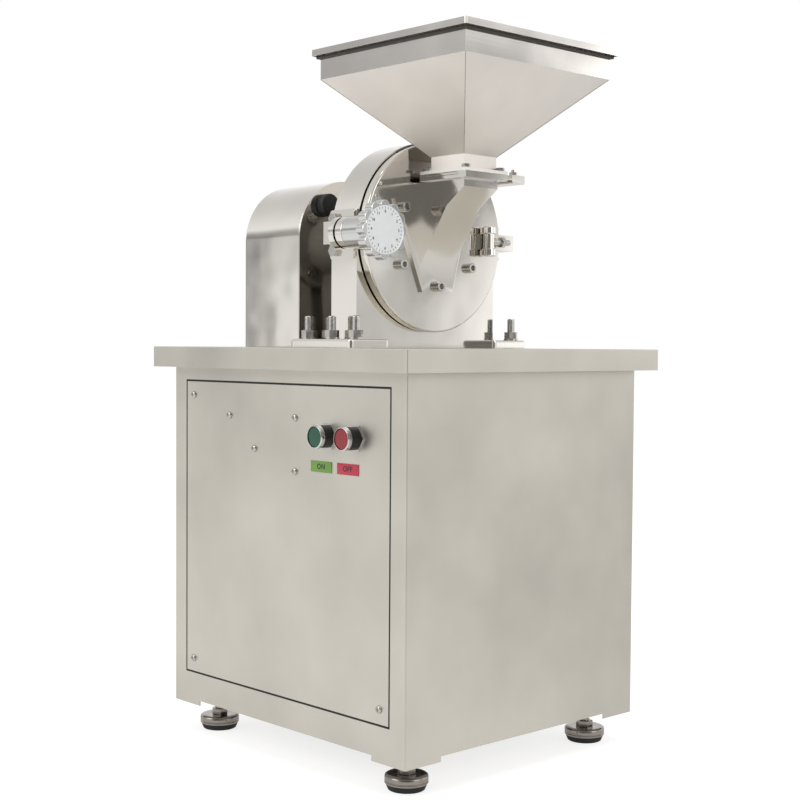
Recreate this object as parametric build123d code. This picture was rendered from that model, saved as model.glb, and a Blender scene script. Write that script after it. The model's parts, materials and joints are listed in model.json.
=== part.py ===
from build123d import *
import os
from math import asin, cos, degrees, radians, sin, sqrt, tan

# Sugar grinder: a pin mill with a square feed hopper, on a cabinet that holds its motor.
# Millimetres. +X is the way the mill's door faces, -Y the way the control panel faces, +Z is up.
# The origin is on the floor, under the middle of the table top.

# Clearances
FIT = 0.05            # running fit, on the radius
BOLT_CLEARANCE = 0.3  # round a bolt's shank, on the radius
THREAD_SLACK = 1.0    # round the hand screw in its bracket, where the thread is drawn plain
DOOR_GAP = 2.0        # between the mill housing and the door, filled by the gasket
PANEL_GAP = 2.5       # round a cabinet panel in its opening
SLIDE_GAP = 0.4       # round the feed gate in its guide
HOLE_SPARE = 1.0      # depth of a blind hole past its screw

# Cabinet
CABINET_W = 456.0
CABINET_D = 408.0
CABINET_H = 450.0
CABINET_SHEET = 1.5
CABINET_CORNER = 2.5
TOP_FLANGE = 40.0
PANEL_SIDE = 28.5
PANEL_TOP = 19.0
PANEL_BOTTOM = 45.0
LEDGE_W = 20.0
CORNER_PAD_W = 57.0
CORNER_PAD_H = 6.5
FLOOR_PLATE_UP = 6.0
FLOOR_PLATE_T = 4.0
FLOOR_PLATE_RING = 72.0

# Table top
TABLE_W = 500.0
TABLE_D = 450.0
TABLE_T = 27.0
TABLE_SHEET = 3.0
TABLE_RIM = 2.0
TABLE_EDGE = 2.5

# Levelling feet
FOOT_H = 38.0
FOOT_INSET = 43.0
PAD_R_BOTTOM = 22.0
PAD_R_TOP = 25.0
PAD_H = 8.0
CUP_R = 26.0
CUP_H = 10.4
CUP_EDGE = 2.5
FOOT_HEX = 19.0
FOOT_HEX_H = 8.0
STUD_R = 6.0
STUD_LENGTH = 36.0
FOOT_BOSS_R = 11.0
FOOT_BOSS_H = 10.0

# Control buttons, 22 mm pattern
BUTTON_INSETS = (138.0, 89.5)
BUTTON_DROP = 59.0    # from the panel's top edge
BUTTON_HOLE_R = 11.0
BUTTON_BODY_R = 13.5
BUTTON_BODY_L = 13.5
BUTTON_NUT_FLATS = 30.0
BUTTON_NUT_T = 2.0
BEZEL_R = 14.2
BEZEL_L = 5.5
CAP_R = 12.2
CAP_L = 12.0
CAP_RECESS = 1.2
CAP_TRAVEL = 3.0
CAP_CLEARANCE = 0.3
CAP_EDGE = 1.0
BEZEL_EDGE = 1.2
CONTACT_GAP = 2.0
CONTACT_W = 30.0
CONTACT_H = 40.0
CONTACT_L = 38.0

# Pan head screws and what the panel carries inside
PAN_R = 4.6
PAN_H = 3.0
PAN_SHANK_R = 2.5
PAN_LENGTH = 9.0
PANEL_SCREW_INSET = 15.5
PANEL_SCREW_UP = 17.5
CONTACTOR_SCREWS = ((-105.0, 41.5), (-52.5, 81.5))    # across, and down from the panel's top edge
CONTACTOR_W = 76.0
CONTACTOR_H = 66.0
CONTACTOR_L = 78.0
TERMINAL_SCREWS = ((28.5, 39.5), (28.5, 105.0))
TERMINAL_W = 26.0
TERMINAL_H = 88.0
TERMINAL_L = 34.0
UNIT_BASE_SHARE = 0.6
UNIT_STEP = 3.0

# Vents, cable gland and outlet in the rear panel
VENT_W = 90.0
VENT_H = 6.0
VENT_PITCH = 16.0
VENT_ROWS = 7
VENT_X = (-110.0, 110.0)
VENT_DROP = 139.0     # of the lowest slot, from the panel's top edge
GLAND_INSET = 78.0
GLAND_UP = 47.0       # from the panel's bottom edge
GLAND_R = 10.0
GLAND_BORE_R = 6.5
GLAND_FLATS = 27.0
GLAND_L = 16.0
GLAND_NUT_T = 5.0

# Motor: foot mounted, 90 mm shaft height
MOTOR_SHAFT_H = 90.0
MOTOR_SHAFT_R = 12.0
MOTOR_SHAFT_L = 50.0
MOTOR_FOOT_A = 140.0
MOTOR_FOOT_B = 125.0
MOTOR_FOOT_C = 56.0
MOTOR_FOOT_W = 36.0
MOTOR_FOOT_T = 12.0
MOTOR_BOLT_R = 5.0
MOTOR_BOLT_END = 12.0
PLINTH_HALF_W = 49.0
SHIELD_T = 20.0
SHIELD_SET = 3.0
SHIELD_EDGE = 5.0
SPIGOT_L = 8.0
FRAME_R = 70.0
FRAME_BORE_R = 62.0
FRAME_L = 182.0
FIN_H = 7.0
FIN_T = 3.0
FIN_COUNT = 28
FIN_INSET = 4.0
FIN_FREE_ANGLE = 26.0
CORE_R = 42.5
CORE_L = 120.0
AIR_GAP = 0.5
WINDING_L = 16.0
WINDING_IN = 5.0
FAN_R = 62.0
FAN_L = 18.0
FAN_BLADES = 7
FAN_HUB_R = 20.0
FAN_SHEET = 3.0
FAN_GAP = 4.0
FAN_COVER_L = 54.0
FAN_COVER_SHEET = 2.0
FAN_COVER_EDGE = 8.0
GRILLE_T = 9.0
GRILLE_SLOTS = 16
GRILLE_SLOT_W = 5.0
GRILLE_R_IN = 16.0
GRILLE_R_OUT = 58.0
TERMINAL_BOX_W = 86.0
TERMINAL_BOX_D = 76.0
TERMINAL_BOX_H = 34.0
TERMINAL_BOX_CORNER = 6.0
RAIL_W = 50.0
RAIL_H = 25.0
RAIL_SHEET = 4.0

# Belt drive
BELT_X = -139.0
SPINDLE_PULLEY_R = 40.0
MOTOR_PULLEY_R = 62.5
PULLEY_W = 36.0
PULLEY_TO_END = 4.0
GROOVE_PITCH = 15.0
BELT_TOP = 13.0
BELT_H = 8.0
BELT_ANGLE = 20.0
GROOVE_SIDE = 0.4
GROOVE_DEPTH = 10.0
BELT_SLOT_MARGIN = 10.0

# Mill housing
AXIS_H = 141.5
HOUSING_R = 123.0
HOUSING_L = 48.0
BACK_WALL = 10.0
CHAMBER_R = 108.0
SHAFT_HOLE_R = 22.0
OUTLET_W = 100.0
OUTLET_L = 32.0
OUTLET_IN = 2.0
SCREEN_R = 98.0
SCREEN_T = 1.5
SCREEN_GROOVE = 3.0
SCREEN_SLOTS = 40
SCREEN_SLOT_W = 3.0
SCREEN_RIM = 5.0
SCREEN_GAP = 0.5
MILL_FOOT_OUT = 35.0
MILL_FOOT_T = 11.0
MILL_FOOT_W = 64.0
MILL_FOOT_BACK = -40.0
MILL_FOOT_FRONT = 78.0
MILL_FOOT_CORNER = 5.0
MILL_FOOT_EDGE = 3.0
BASE_BOLT_X = (-25.0, 21.0, 66.5)
BASE_BOLT_OUT = 16.5
BASE_BOLT_R = 5.0
BASE_NUT_FLATS = 16.0
BASE_NUT_H = 9.0
BASE_STUD_UP = 29.0
BASE_STUD_EDGE = 2.0
BASE_HEAD_H = 7.0
WASHER_R = 9.5
WASHER_T = 2.0

# Spindle and its bearings
BEARING_OD = 62.0
BEARING_ID = 30.0
BEARING_W = 16.0
BEARING_RACE = 6.0
BEARING_SHIELD_GAP = 0.4
BEARING_SHIELD_T = 1.0
BEARING_HOUSING_R = 42.0
BEARING_HOUSING_L = 70.0
BEARING_FLANGE_R = 60.0
BEARING_FLANGE_T = 12.0
BEARING_BOLT_PCR = 51.0
BEARING_SHOULDER = 4.0
FRONT_CAP_T = 8.0
REAR_CAP_T = 6.0
REAR_CAP_SPIGOT = 4.0
CAP_SHAFT_GAP = 0.8
PEDESTAL_W = 110.0
PEDESTAL_T = 12.0
PEDESTAL_WEB = 28.0
PEDESTAL_WEB_IN = 8.0
PEDESTAL_IN = 4.0
PEDESTAL_BOLT_X = (-54.0, -18.0)
PEDESTAL_BOLT_Y = 38.0
SPINDLE_END_R = 14.0
SPINDLE_THREAD_R = 10.0
SPINDLE_THREAD_END = 3.0
SPINDLE_STEP = 1.0
SPINDLE_TAIL = 6.0
ROTOR_NUT_FLATS = 30.0
ROTOR_NUT_H = 12.0

# Grinding discs
ROTOR_R = 92.0
ROTOR_T = 8.0
ROTOR_BACK_GAP = 4.0
ROTOR_HUB_R = 27.0
ROTOR_HUB_L = 13.0
ROTOR_RING_R = (42.0, 64.0, 86.0)
ROTOR_TOOTH_COUNTS = (6, 10, 14)
FIXED_RING_R = (53.0, 75.0)
FIXED_TOOTH_COUNTS = (8, 12)
TOOTH_R = 3.5
TOOTH_ROOT = 1.0
ROTOR_TOOTH_L = 16.0
FIXED_TOOTH_L = 18.0
FIXED_DISC_R = 92.0
FIXED_DISC_T = 6.0
FEED_HOLE_R = 29.0

# Door
DOOR_R = 121.0
DOOR_T = 12.0
DOOR_EDGE = 1.5
DOOR_LUG_ROOT = 12.0
GASKET_R = 110.0
GASKET_W = 7.0
DISC_BOLT_OUT = 61.5
DISC_BOLT_DROP = 36.0
M8_R = 4.0
M8_HEAD_R = 6.5
M8_HEAD_H = 8.0
M8_SOCKET_R = 3.4
M8_SOCKET_L = 5.0
M8_HEAD_EDGE = 0.8
M8_GRIP = 12.0

# Hinge
HINGE_X = 24.0
HINGE_OUT = 14.0
HINGE_KNUCKLE_R = 9.0
HINGE_PIN_R = 5.0
HINGE_ARM_H = 21.0
HINGE_KNUCKLE_H = 10.0
HINGE_END_GAP = 0.5
BRACKET_T = 4.0
BRACKET_H = 62.0
BRACKET_BACK = 2.0
BRACKET_CORNER = 4.0
BRACKET_BOLT_IN = 11.0
HINGE_ARM_T = 12.0
HINGE_BOLT_OFF = 17.5
HINGE_PIN_END = 4.0
STRAP_T = 4.0
STRAP_IN = 78.0
STRAP_GAP = 0.5
BARREL_R = 9.6
BARREL_WAIST_R = 7.6
BARREL_H = 39.0
BARREL_RIM_H = 10.0
BARREL_Y = 86.6
BARREL_SCREW_L = 29.0
BARREL_NUT_OFF = 12.0
BARREL_GAP = 0.5
BARREL_EDGE = 1.5

# Latch: hand screw through a lug on the door into a bracket on the housing
LATCH_OUT = 18.0
LATCH_BOSS_R = 20.0
LATCH_BOSS_L = 25.0
LATCH_COLLAR_L = 10.0
LATCH_BLOCK_H = 28.0
LATCH_BOLT_X = 12.0
LATCH_FACE_GAP = 1.0
HAND_SCREW_R = 8.0
HAND_SCREW_GRIP = 14.0
HAND_SCREW_EDGE = 1.5
HAND_SCREW_IN_WHEEL = 6.0
SLEEVE_R = 20.0
SLEEVE_L = 45.0
SLEEVE_GAP = 0.3
WHEEL_R = 36.0
WHEEL_T = 13.0
WHEEL_LOBES = 12
LOBE_R = 7.0
WHEEL_WAIST_IN = 5.0
DIAL_R = 29.5
DIAL_T = 2.0
HEX_M8 = 13.0
HEX_M8_H = 6.0

# Feed chute and gate
CHUTE_SHEET = 2.0
CHUTE_HALF_W = 30.0
CHUTE_BOTTOM = -34.5
CHUTE_BEND = 37.2
CHUTE_BEND_REACH = 50.0
CHUTE_KNEE = 59.5
CHUTE_LIP = 10.0
CHUTE_REACH = 80.5
CHUTE_FLANGE_T = 4.0
CHUTE_FLANGE_BOTTOM = -70.0
CHUTE_FLANGE_TOP = 46.0
CHUTE_FLANGE_LOW_W = 54.0
CHUTE_FLANGE_HIGH_W = 150.0
CHUTE_BOLT_LOW = 8.0
CHUTE_BACK_LOW = 20.0
GATE_FLANGE_W = 75.0
GATE_FLANGE_L = 82.0
GATE_FLANGE_T = 4.0
GATE_T = 3.2
GATE_W = 53.0
GATE_REACH = 24.0
GATE_HANDLE_L = 24.0
GATE_HANDLE_H = 11.0
GATE_HANDLE_EDGE = 2.0
GATE_STUD_IN = 9.0
GATE_STUD_UP = 3.0
FLANGE_BOLT_INSET = 6.5
FLANGE_BOLT_END = 0.5
M6_R = 3.0
HEX_M6 = 10.0
HEX_M6_H = 4.5

# Hopper and lid
HOPPER_X = 112.0
HOPPER_W = 257.0
HOPPER_SHEET = 1.5
NECK_W = 58.0
NECK_H = 18.0
FUNNEL_H = 97.5
BAND_H = 35.5
HOPPER_LIP = 5.0
LID_W = 274.0
LID_SHEET = 1.5
LID_RIM = 8.0
LID_CORNER = 2.0

# Belt cover
COVER_HALF_W = 110.5
COVER_H = 222.5
COVER_CORNER = 80.0
COVER_SHEET = 1.5
COVER_BACK = -200.0
COVER_FRONT = -80.0
COVER_LIP = 28.0
COVER_EDGE = 5.0
END_PLATE_T = 2.0
END_PLATE_HOLE_R = 50.0
END_PLATE_FOOT = 22.0
END_FOOT_GAP = 2.0
KNOB_R = 15.0
KNOB_L = 13.0
KNOB_IN = 43.0
KNOB_DROP = 34.0
KNOB_STUD_R = 3.0
KNOB_STUD_END = 7.0
KNOB_EDGE = 2.5

# Discharge chute
DUCT_SHEET = 1.5
DUCT_KNEE = 18.0
DUCT_MOUTH_LOW = 220.0
DUCT_MOUTH_H = 72.0
DUCT_SPOUT = 18.0
DUCT_FLANGE = 11.0

# Heights and places that follow from the sizes above
Z_CABINET = FOOT_H
Z_TABLE = Z_CABINET + CABINET_H
Z_TOP = Z_TABLE + TABLE_T
Z_AXIS = Z_TOP + AXIS_H
X_HALF = CABINET_W / 2
Y_HALF = CABINET_D / 2
BUTTON_X = [X_HALF - inset for inset in BUTTON_INSETS]
GLAND_X = GLAND_INSET - X_HALF
PANEL_HALF_W = X_HALF - PANEL_SIDE
PANEL_LOW = Z_CABINET + PANEL_BOTTOM
PANEL_HIGH = Z_TABLE - PANEL_TOP
BUTTON_Z = PANEL_HIGH - BUTTON_DROP
CONTACTOR_HOLES = [(x, PANEL_HIGH - drop) for x, drop in CONTACTOR_SCREWS]
TERMINAL_HOLES = [(x, PANEL_HIGH - drop) for x, drop in TERMINAL_SCREWS]
VENT_Z = PANEL_HIGH - VENT_DROP
GLAND_Z = PANEL_LOW + GLAND_UP
Z_FLOOR_PLATE = Z_CABINET + FLOOR_PLATE_UP
Z_RAIL = Z_FLOOR_PLATE + FLOOR_PLATE_T
Z_MOTOR_FOOT = Z_RAIL + RAIL_H
Z_MOTOR = Z_MOTOR_FOOT + MOTOR_SHAFT_H
FOOT_PLACES = [(sx * (X_HALF - FOOT_INSET), sy * (Y_HALF - FOOT_INSET)) for sy in (-1, 1) for sx in (-1, 1)]

MOTOR_END = BELT_X - PULLEY_W / 2 - PULLEY_TO_END
MOTOR_FACE = MOTOR_END + MOTOR_SHAFT_L
MOTOR_FOOT_X = (MOTOR_FACE + MOTOR_FOOT_C, MOTOR_FACE + MOTOR_FOOT_C + MOTOR_FOOT_B)
FRAME_X0 = MOTOR_FACE + SHIELD_T
FRAME_X1 = FRAME_X0 + FRAME_L
SHIELD_X1 = FRAME_X1 + SHIELD_T
CORE_X0 = (FRAME_X0 + FRAME_X1 - CORE_L) / 2
CORE_X1 = CORE_X0 + CORE_L
FAN_X0 = SHIELD_X1 + FAN_GAP
FAN_COVER_R = FRAME_R + FIN_H + FAN_COVER_SHEET

X_FACE = HOUSING_L
X_DOOR = X_FACE + DOOR_GAP
X_FRONT = X_DOOR + DOOR_T
HINGE_Y = HOUSING_R + HINGE_OUT
X_BARREL = X_FRONT + STRAP_T + HEX_M8 / sqrt(3) + BARREL_GAP
LATCH_Y = -(HOUSING_R + LATCH_OUT)
X_ROTOR = BACK_WALL + ROTOR_BACK_GAP
X_BEARING_BACK = -BEARING_HOUSING_L
BEARING_R = BEARING_OD / 2
SPINDLE_R = BEARING_ID / 2
BEARING_PLACES = (X_BEARING_BACK + REAR_CAP_SPIGOT, -FRONT_CAP_T - BEARING_W)
MILL_FOOT_Y = HOUSING_R + MILL_FOOT_OUT
BASE_BOLT_Y = HOUSING_R + BASE_BOLT_OUT
OUTLET_X0 = BACK_WALL + OUTLET_IN
PEDESTAL_BOLT_PLACES = [(x, side * PEDESTAL_BOLT_Y) for side in (-1, 1) for x in PEDESTAL_BOLT_X]
BASE_BOLT_PLACES = [(x, side * BASE_BOLT_Y) for side in (-1, 1) for x in BASE_BOLT_X]
DISC_BOLT_PLACES = [(side * DISC_BOLT_OUT, -DISC_BOLT_DROP) for side in (-1, 1)]
SHARED_BOLT_PLACES = [(side * DISC_BOLT_OUT, DISC_BOLT_DROP) for side in (-1, 1)]
X_CHUTE = X_FRONT + CHUTE_FLANGE_T
X_CHUTE_BEND = X_FRONT + CHUTE_BEND_REACH
X_CHUTE_TIP = X_FRONT + CHUTE_REACH
X_GATE0 = HOPPER_X - GATE_FLANGE_L / 2
X_GATE1 = HOPPER_X + GATE_FLANGE_L / 2
Z_CHUTE_TOP = Z_AXIS + CHUTE_KNEE + CHUTE_LIP
Z_GATE = Z_CHUTE_TOP + GATE_FLANGE_T
GATE_SLOT_H = GATE_T + 2 * SLIDE_GAP
Z_HOPPER_FLANGE = Z_GATE + GATE_SLOT_H
Z_NECK = Z_HOPPER_FLANGE + GATE_FLANGE_T
Z_FUNNEL = Z_NECK + NECK_H
Z_BAND = Z_FUNNEL + FUNNEL_H
Z_HOPPER_TOP = Z_BAND + BAND_H
Z_LID_TOP = Z_HOPPER_TOP + LID_SHEET
CHUTE_BOLT_PLACES = [(0.0, CHUTE_FLANGE_BOTTOM + CHUTE_BOLT_LOW)]
BRACKET_BOLT_DROP = BRACKET_H / 2 - BRACKET_BOLT_IN
Z_COVER_TOP = Z_TOP + COVER_H
KNOB_PLACES = [(side * (COVER_HALF_W - KNOB_IN), Z_COVER_TOP - KNOB_DROP) for side in (-1, 1)]
END_SCREW_X = COVER_FRONT - END_PLATE_T - END_PLATE_FOOT / 2
END_SCREW_PLACES = [(END_SCREW_X, side * (END_PLATE_HOLE_R + END_PLATE_FOOT)) for side in (-1, 1)]
BELT_SLOT_HALF = MOTOR_PULLEY_R + BELT_SLOT_MARGIN
PULLEY_X0 = BELT_X - PULLEY_W / 2
PULLEY_X1 = BELT_X + PULLEY_W / 2


# Basic solids
def block(x0, x1, y0, y1, z0, z1):
    return Pos((x0 + x1) / 2, (y0 + y1) / 2, (z0 + z1) / 2) * Box(x1 - x0, y1 - y0, z1 - z0)


def rod_x(r, x0, x1, y, z):
    return Pos((x0 + x1) / 2, y, z) * Rot(0, 90, 0) * Cylinder(r, x1 - x0)


def rod_y(r, y0, y1, x, z):
    return Pos(x, (y0 + y1) / 2, z) * Rot(90, 0, 0) * Cylinder(r, y1 - y0)


def rod_z(r, z0, z1, x, y):
    return Pos(x, y, (z0 + z1) / 2) * Cylinder(r, z1 - z0)


def hexagon(flats, length):
    return extrude(RegularPolygon(flats / 2, 6, major_radius=False), length)


def hex_x(flats, x0, x1, y, z):
    return Pos(x0, y, z) * Rot(0, 90, 0) * hexagon(flats, x1 - x0)


def hex_y(flats, y0, y1, x, z):
    return Pos(x, y0, z) * Rot(-90, 0, 0) * hexagon(flats, y1 - y0)


def hex_z(flats, z0, z1, x, y):
    return Pos(x, y, z0) * hexagon(flats, z1 - z0)


def prism_x(points, x0, x1):
    return Pos(x0, 0, 0) * extrude(Plane.YZ * Polygon(*points, align=None), x1 - x0, dir=(1, 0, 0))


def prism_y(points, y0, y1):
    return Pos(0, y0, 0) * extrude(Plane.XZ * Polygon(*points, align=None), y1 - y0, dir=(0, 1, 0))


def frustum(w0, w1, z0, z1, x):
    low = Pos(x, 0, z0) * Rectangle(w0, w0)
    high = Pos(x, 0, z1) * Rectangle(w1, w1)
    return loft([low, high])


def arch(r, x0, x1, z_base, z_spring):
    top = rod_x(r, x0, x1, 0, z_spring)
    return top + block(x0, x1, -r, r, z_base, z_spring)


def vertical_edges(solid):
    return solid.edges().filter_by(Axis.Z)


# Cabinet, table and feet
def panel_opening(margin, y0, y1):
    half = PANEL_HALF_W + margin
    return block(-half, half, y0, y1, PANEL_LOW - margin, PANEL_HIGH + margin)


def cabinet_shell():
    outer = block(-X_HALF, X_HALF, -Y_HALF, Y_HALF, Z_CABINET, Z_TABLE)
    outer = fillet(vertical_edges(outer), CABINET_CORNER)
    xi = X_HALF - CABINET_SHEET
    yi = Y_HALF - CABINET_SHEET
    shell = outer - block(-xi, xi, -yi, yi, Z_CABINET, Z_TABLE - CABINET_SHEET)
    xt = X_HALF - TOP_FLANGE
    yt = Y_HALF - TOP_FLANGE
    shell -= block(-xt, xt, -yt, yt, Z_TABLE - CABINET_SHEET, Z_TABLE)
    xp = X_HALF - CORNER_PAD_W
    yp = Y_HALF - CORNER_PAD_W
    shell -= block(-xp, xp, -Y_HALF, Y_HALF, Z_CABINET, Z_CABINET + CORNER_PAD_H)
    shell -= block(-X_HALF, X_HALF, -yp, yp, Z_CABINET, Z_CABINET + CORNER_PAD_H)
    plate = block(-xi, xi, -yi, yi, Z_FLOOR_PLATE, Z_RAIL)
    xr = X_HALF - FLOOR_PLATE_RING
    yr = Y_HALF - FLOOR_PLATE_RING
    shell += plate - block(-xr, xr, -yr, yr, Z_FLOOR_PLATE, Z_RAIL)
    for side in (-1, 1):
        wall = sorted((side * Y_HALF, side * yi))
        ledge = sorted((side * yi, side * (yi - CABINET_SHEET)))
        shell -= panel_opening(PANEL_GAP, *wall)
        shell += panel_opening(LEDGE_W / 2, *ledge) - panel_opening(-LEDGE_W, *ledge)
    for x, y in FOOT_PLACES:
        shell += rod_z(FOOT_BOSS_R, Z_RAIL, Z_RAIL + FOOT_BOSS_H, x, y)
        shell -= rod_z(STUD_R + FIT, Z_FLOOR_PLATE, Z_RAIL + FOOT_BOSS_H, x, y)
    for place in screw_places():
        shell -= screw_hole(*place)
    return shell


def table_top():
    xo = TABLE_W / 2
    yo = TABLE_D / 2
    top = block(-xo, xo, -yo, yo, Z_TABLE, Z_TOP)
    top = fillet(vertical_edges(top), TABLE_EDGE)
    top = fillet(top.faces().sort_by(Axis.Z)[-1].edges(), TABLE_EDGE / 2)
    lip = TABLE_RIM
    top -= block(-xo + lip, xo - lip, -yo + lip, yo - lip, Z_TABLE + lip, Z_TOP - TABLE_SHEET)
    xl = X_HALF - TOP_FLANGE / 2
    yl = Y_HALF - TOP_FLANGE / 2
    top -= block(-xl, xl, -yl, yl, Z_TABLE, Z_TABLE + lip)
    sheet = (Z_TOP - TABLE_SHEET, Z_TOP)
    slot_x = BELT_SLOT_MARGIN / 2
    top -= block(PULLEY_X0 - slot_x, PULLEY_X1 + slot_x, -BELT_SLOT_HALF, BELT_SLOT_HALF, *sheet)
    top -= block(OUTLET_X0, OUTLET_X0 + OUTLET_L, -OUTLET_W / 2, OUTLET_W / 2, *sheet)
    for x, y in BASE_BOLT_PLACES + PEDESTAL_BOLT_PLACES:
        top -= rod_z(BASE_BOLT_R + BOLT_CLEARANCE, *sheet, x, y)
    for x, y in END_SCREW_PLACES:
        top -= rod_z(PAN_SHANK_R + BOLT_CLEARANCE, *sheet, x, y)
    return top


def levelling_foot(x, y):
    z_cup = PAD_H + CUP_H
    z_hex = z_cup + FOOT_HEX_H
    pad = Pos(x, y, PAD_H / 2) * Cone(PAD_R_BOTTOM, PAD_R_TOP, PAD_H)
    cup = rod_z(CUP_R, PAD_H, z_cup, x, y)
    cup = fillet(cup.edges().sort_by(Axis.Z)[-1], CUP_EDGE)
    stud = rod_z(STUD_R, z_hex, z_hex + STUD_LENGTH, x, y)
    return pad + cup + hex_z(FOOT_HEX, z_cup, z_hex, x, y) + stud


def front_panel():
    panel = panel_opening(0, -Y_HALF, -Y_HALF + CABINET_SHEET)
    for x in BUTTON_X:
        panel -= rod_y(BUTTON_HOLE_R + BOLT_CLEARANCE, -Y_HALF, -Y_HALF + CABINET_SHEET, x, BUTTON_Z)
    for place in screw_places():
        panel -= screw_hole(*place)
    return panel


def rear_panel():
    y = (Y_HALF - CABINET_SHEET, Y_HALF)
    panel = panel_opening(0, *y)
    for x in VENT_X:
        for row in range(VENT_ROWS):
            z = VENT_Z + row * VENT_PITCH
            panel -= block(x - VENT_W / 2, x + VENT_W / 2, *y, z, z + VENT_H)
    panel -= rod_y(GLAND_R + BOLT_CLEARANCE, *y, GLAND_X, GLAND_Z)
    x0 = OUTLET_X0 - DUCT_SHEET - BOLT_CLEARANCE
    x1 = OUTLET_X0 + OUTLET_L + DUCT_SHEET + BOLT_CLEARANCE
    z0 = DUCT_MOUTH_LOW - BOLT_CLEARANCE
    panel -= block(x0, x1, *y, z0, DUCT_MOUTH_LOW + DUCT_MOUTH_H + 2 * DUCT_SHEET + BOLT_CLEARANCE)
    for place in screw_places():
        panel -= screw_hole(*place)
    return panel


# Pan head screws: place, and the side of the cabinet that they enter from
def screw_places():
    x = PANEL_HALF_W - PANEL_SCREW_INSET
    low = PANEL_LOW + PANEL_SCREW_UP
    high = PANEL_HIGH - PANEL_SCREW_UP
    front = [(-x, high), (-x, low), (x, low)]
    rear = [(-x, high), (-x, low), (x, low), (x, high)]
    front += CONTACTOR_HOLES + TERMINAL_HOLES
    return [(sx, -1, sz) for sx, sz in front] + [(sx, 1, sz) for sx, sz in rear]


def screw_hole(x, side, z):
    y = sorted((side * Y_HALF, side * (Y_HALF - PAN_LENGTH - HOLE_SPARE)))
    return rod_y(PAN_SHANK_R + BOLT_CLEARANCE, *y, x, z)


def pan_screw():
    head = rod_z(PAN_R, 0, PAN_H, 0, 0)
    head = fillet(head.edges().sort_by(Axis.Z)[-1], PAN_H / 2)
    return head + rod_z(PAN_SHANK_R, -PAN_LENGTH, 0, 0, 0)


def pan_screws():
    screw = pan_screw()
    screws = []
    for x, side, z in screw_places():
        screws.append((Pos(x, side * Y_HALF, z) * Rot(-90 * side, 0, 0) * screw).solid())
    for x, y in END_SCREW_PLACES:
        screws.append((Pos(x, y, Z_TOP + END_PLATE_T) * screw).solid())
    return Compound(screws)


# Buttons and the units behind the panel
Y_PANEL = -Y_HALF
Y_NUT = Y_PANEL - BUTTON_NUT_T
Y_BODY = Y_NUT - BUTTON_BODY_L
Y_BEZEL = Y_BODY - BEZEL_L
CAP_BORE = CAP_R + CAP_CLEARANCE


def button_body(x):
    z = BUTTON_Z
    y_in = Y_PANEL + CABINET_SHEET
    body = rod_y(BUTTON_BODY_R, Y_BODY, Y_NUT, x, z)
    body += rod_y(BUTTON_HOLE_R, Y_NUT, y_in + CONTACT_GAP, x, z)
    half_w = CONTACT_W / 2
    half_h = CONTACT_H / 2
    body += block(x - half_w, x + half_w, y_in + CONTACT_GAP, y_in + CONTACT_L, z - half_h, z + half_h)
    y_cap = Y_BEZEL + CAP_RECESS + CAP_L + CAP_TRAVEL + CAP_CLEARANCE
    return body - rod_y(CAP_BORE, Y_BODY, y_cap, x, z)


def button_bezel(x):
    ring = rod_y(BEZEL_R, Y_BEZEL, Y_BODY, x, BUTTON_Z)
    ring = chamfer(ring.edges().filter_by(GeomType.CIRCLE).sort_by(Axis.Y)[0], BEZEL_EDGE)
    return ring - rod_y(CAP_BORE, Y_BEZEL, Y_BODY, x, BUTTON_Z)


def button_nut(x):
    nut = hex_y(BUTTON_NUT_FLATS, Y_NUT, Y_PANEL, x, BUTTON_Z)
    return nut - rod_y(BUTTON_HOLE_R + FIT, Y_NUT, Y_PANEL, x, BUTTON_Z)


def button_cap(x):
    y0 = Y_BEZEL + CAP_RECESS
    cap = rod_y(CAP_R, y0, y0 + CAP_L, x, BUTTON_Z)
    return fillet(cap.edges().filter_by(GeomType.CIRCLE).sort_by(Axis.Y)[0], CAP_EDGE)


def panel_unit(holes, w, h, length):
    x = (holes[0][0] + holes[1][0]) / 2
    z = (holes[0][1] + holes[1][1]) / 2
    y0 = Y_PANEL + CABINET_SHEET
    y_step = y0 + length * UNIT_BASE_SHARE
    half = w / 2 - UNIT_STEP
    base = block(x - w / 2, x + w / 2, y0, y_step, z - h / 2, z + h / 2)
    nose = block(x - half, x + half, y_step, y0 + length, z - h / 4, z + h / 4)
    unit = base + nose
    for hx, hz in holes:
        unit -= screw_hole(hx, -1, hz)
    return unit


def cable_gland():
    y_in = Y_HALF - CABINET_SHEET
    gland = hex_y(GLAND_FLATS, Y_HALF, Y_HALF + GLAND_NUT_T, GLAND_X, GLAND_Z)
    gland += rod_y(GLAND_R, y_in - GLAND_NUT_T, Y_HALF, GLAND_X, GLAND_Z)
    gland += rod_y(GLAND_FLATS / 2, Y_HALF + GLAND_NUT_T, Y_HALF + GLAND_L, GLAND_X, GLAND_Z)
    gland += hex_y(GLAND_FLATS, y_in - GLAND_NUT_T, y_in, GLAND_X, GLAND_Z)
    return gland - rod_y(GLAND_BORE_R, y_in - GLAND_NUT_T, Y_HALF + GLAND_L, GLAND_X, GLAND_Z)


# Motor
def motor_rails():
    y1 = Y_HALF - CABINET_SHEET - LEDGE_W / 2
    rails = []
    for x in MOTOR_FOOT_X:
        rail = block(x - RAIL_W / 2, x + RAIL_W / 2, -y1, y1, Z_RAIL, Z_MOTOR_FOOT)
        half = RAIL_W / 2 - RAIL_SHEET
        rail -= block(x - half, x + half, -y1, y1, Z_RAIL, Z_MOTOR_FOOT - RAIL_SHEET)
        for side in (-1, 1):
            hole = MOTOR_BOLT_R + BOLT_CLEARANCE
            rail -= rod_z(hole, Z_RAIL, Z_MOTOR_FOOT, x, side * MOTOR_FOOT_A / 2)
        rails.append(rail.solid())
    return Compound(rails)


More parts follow.
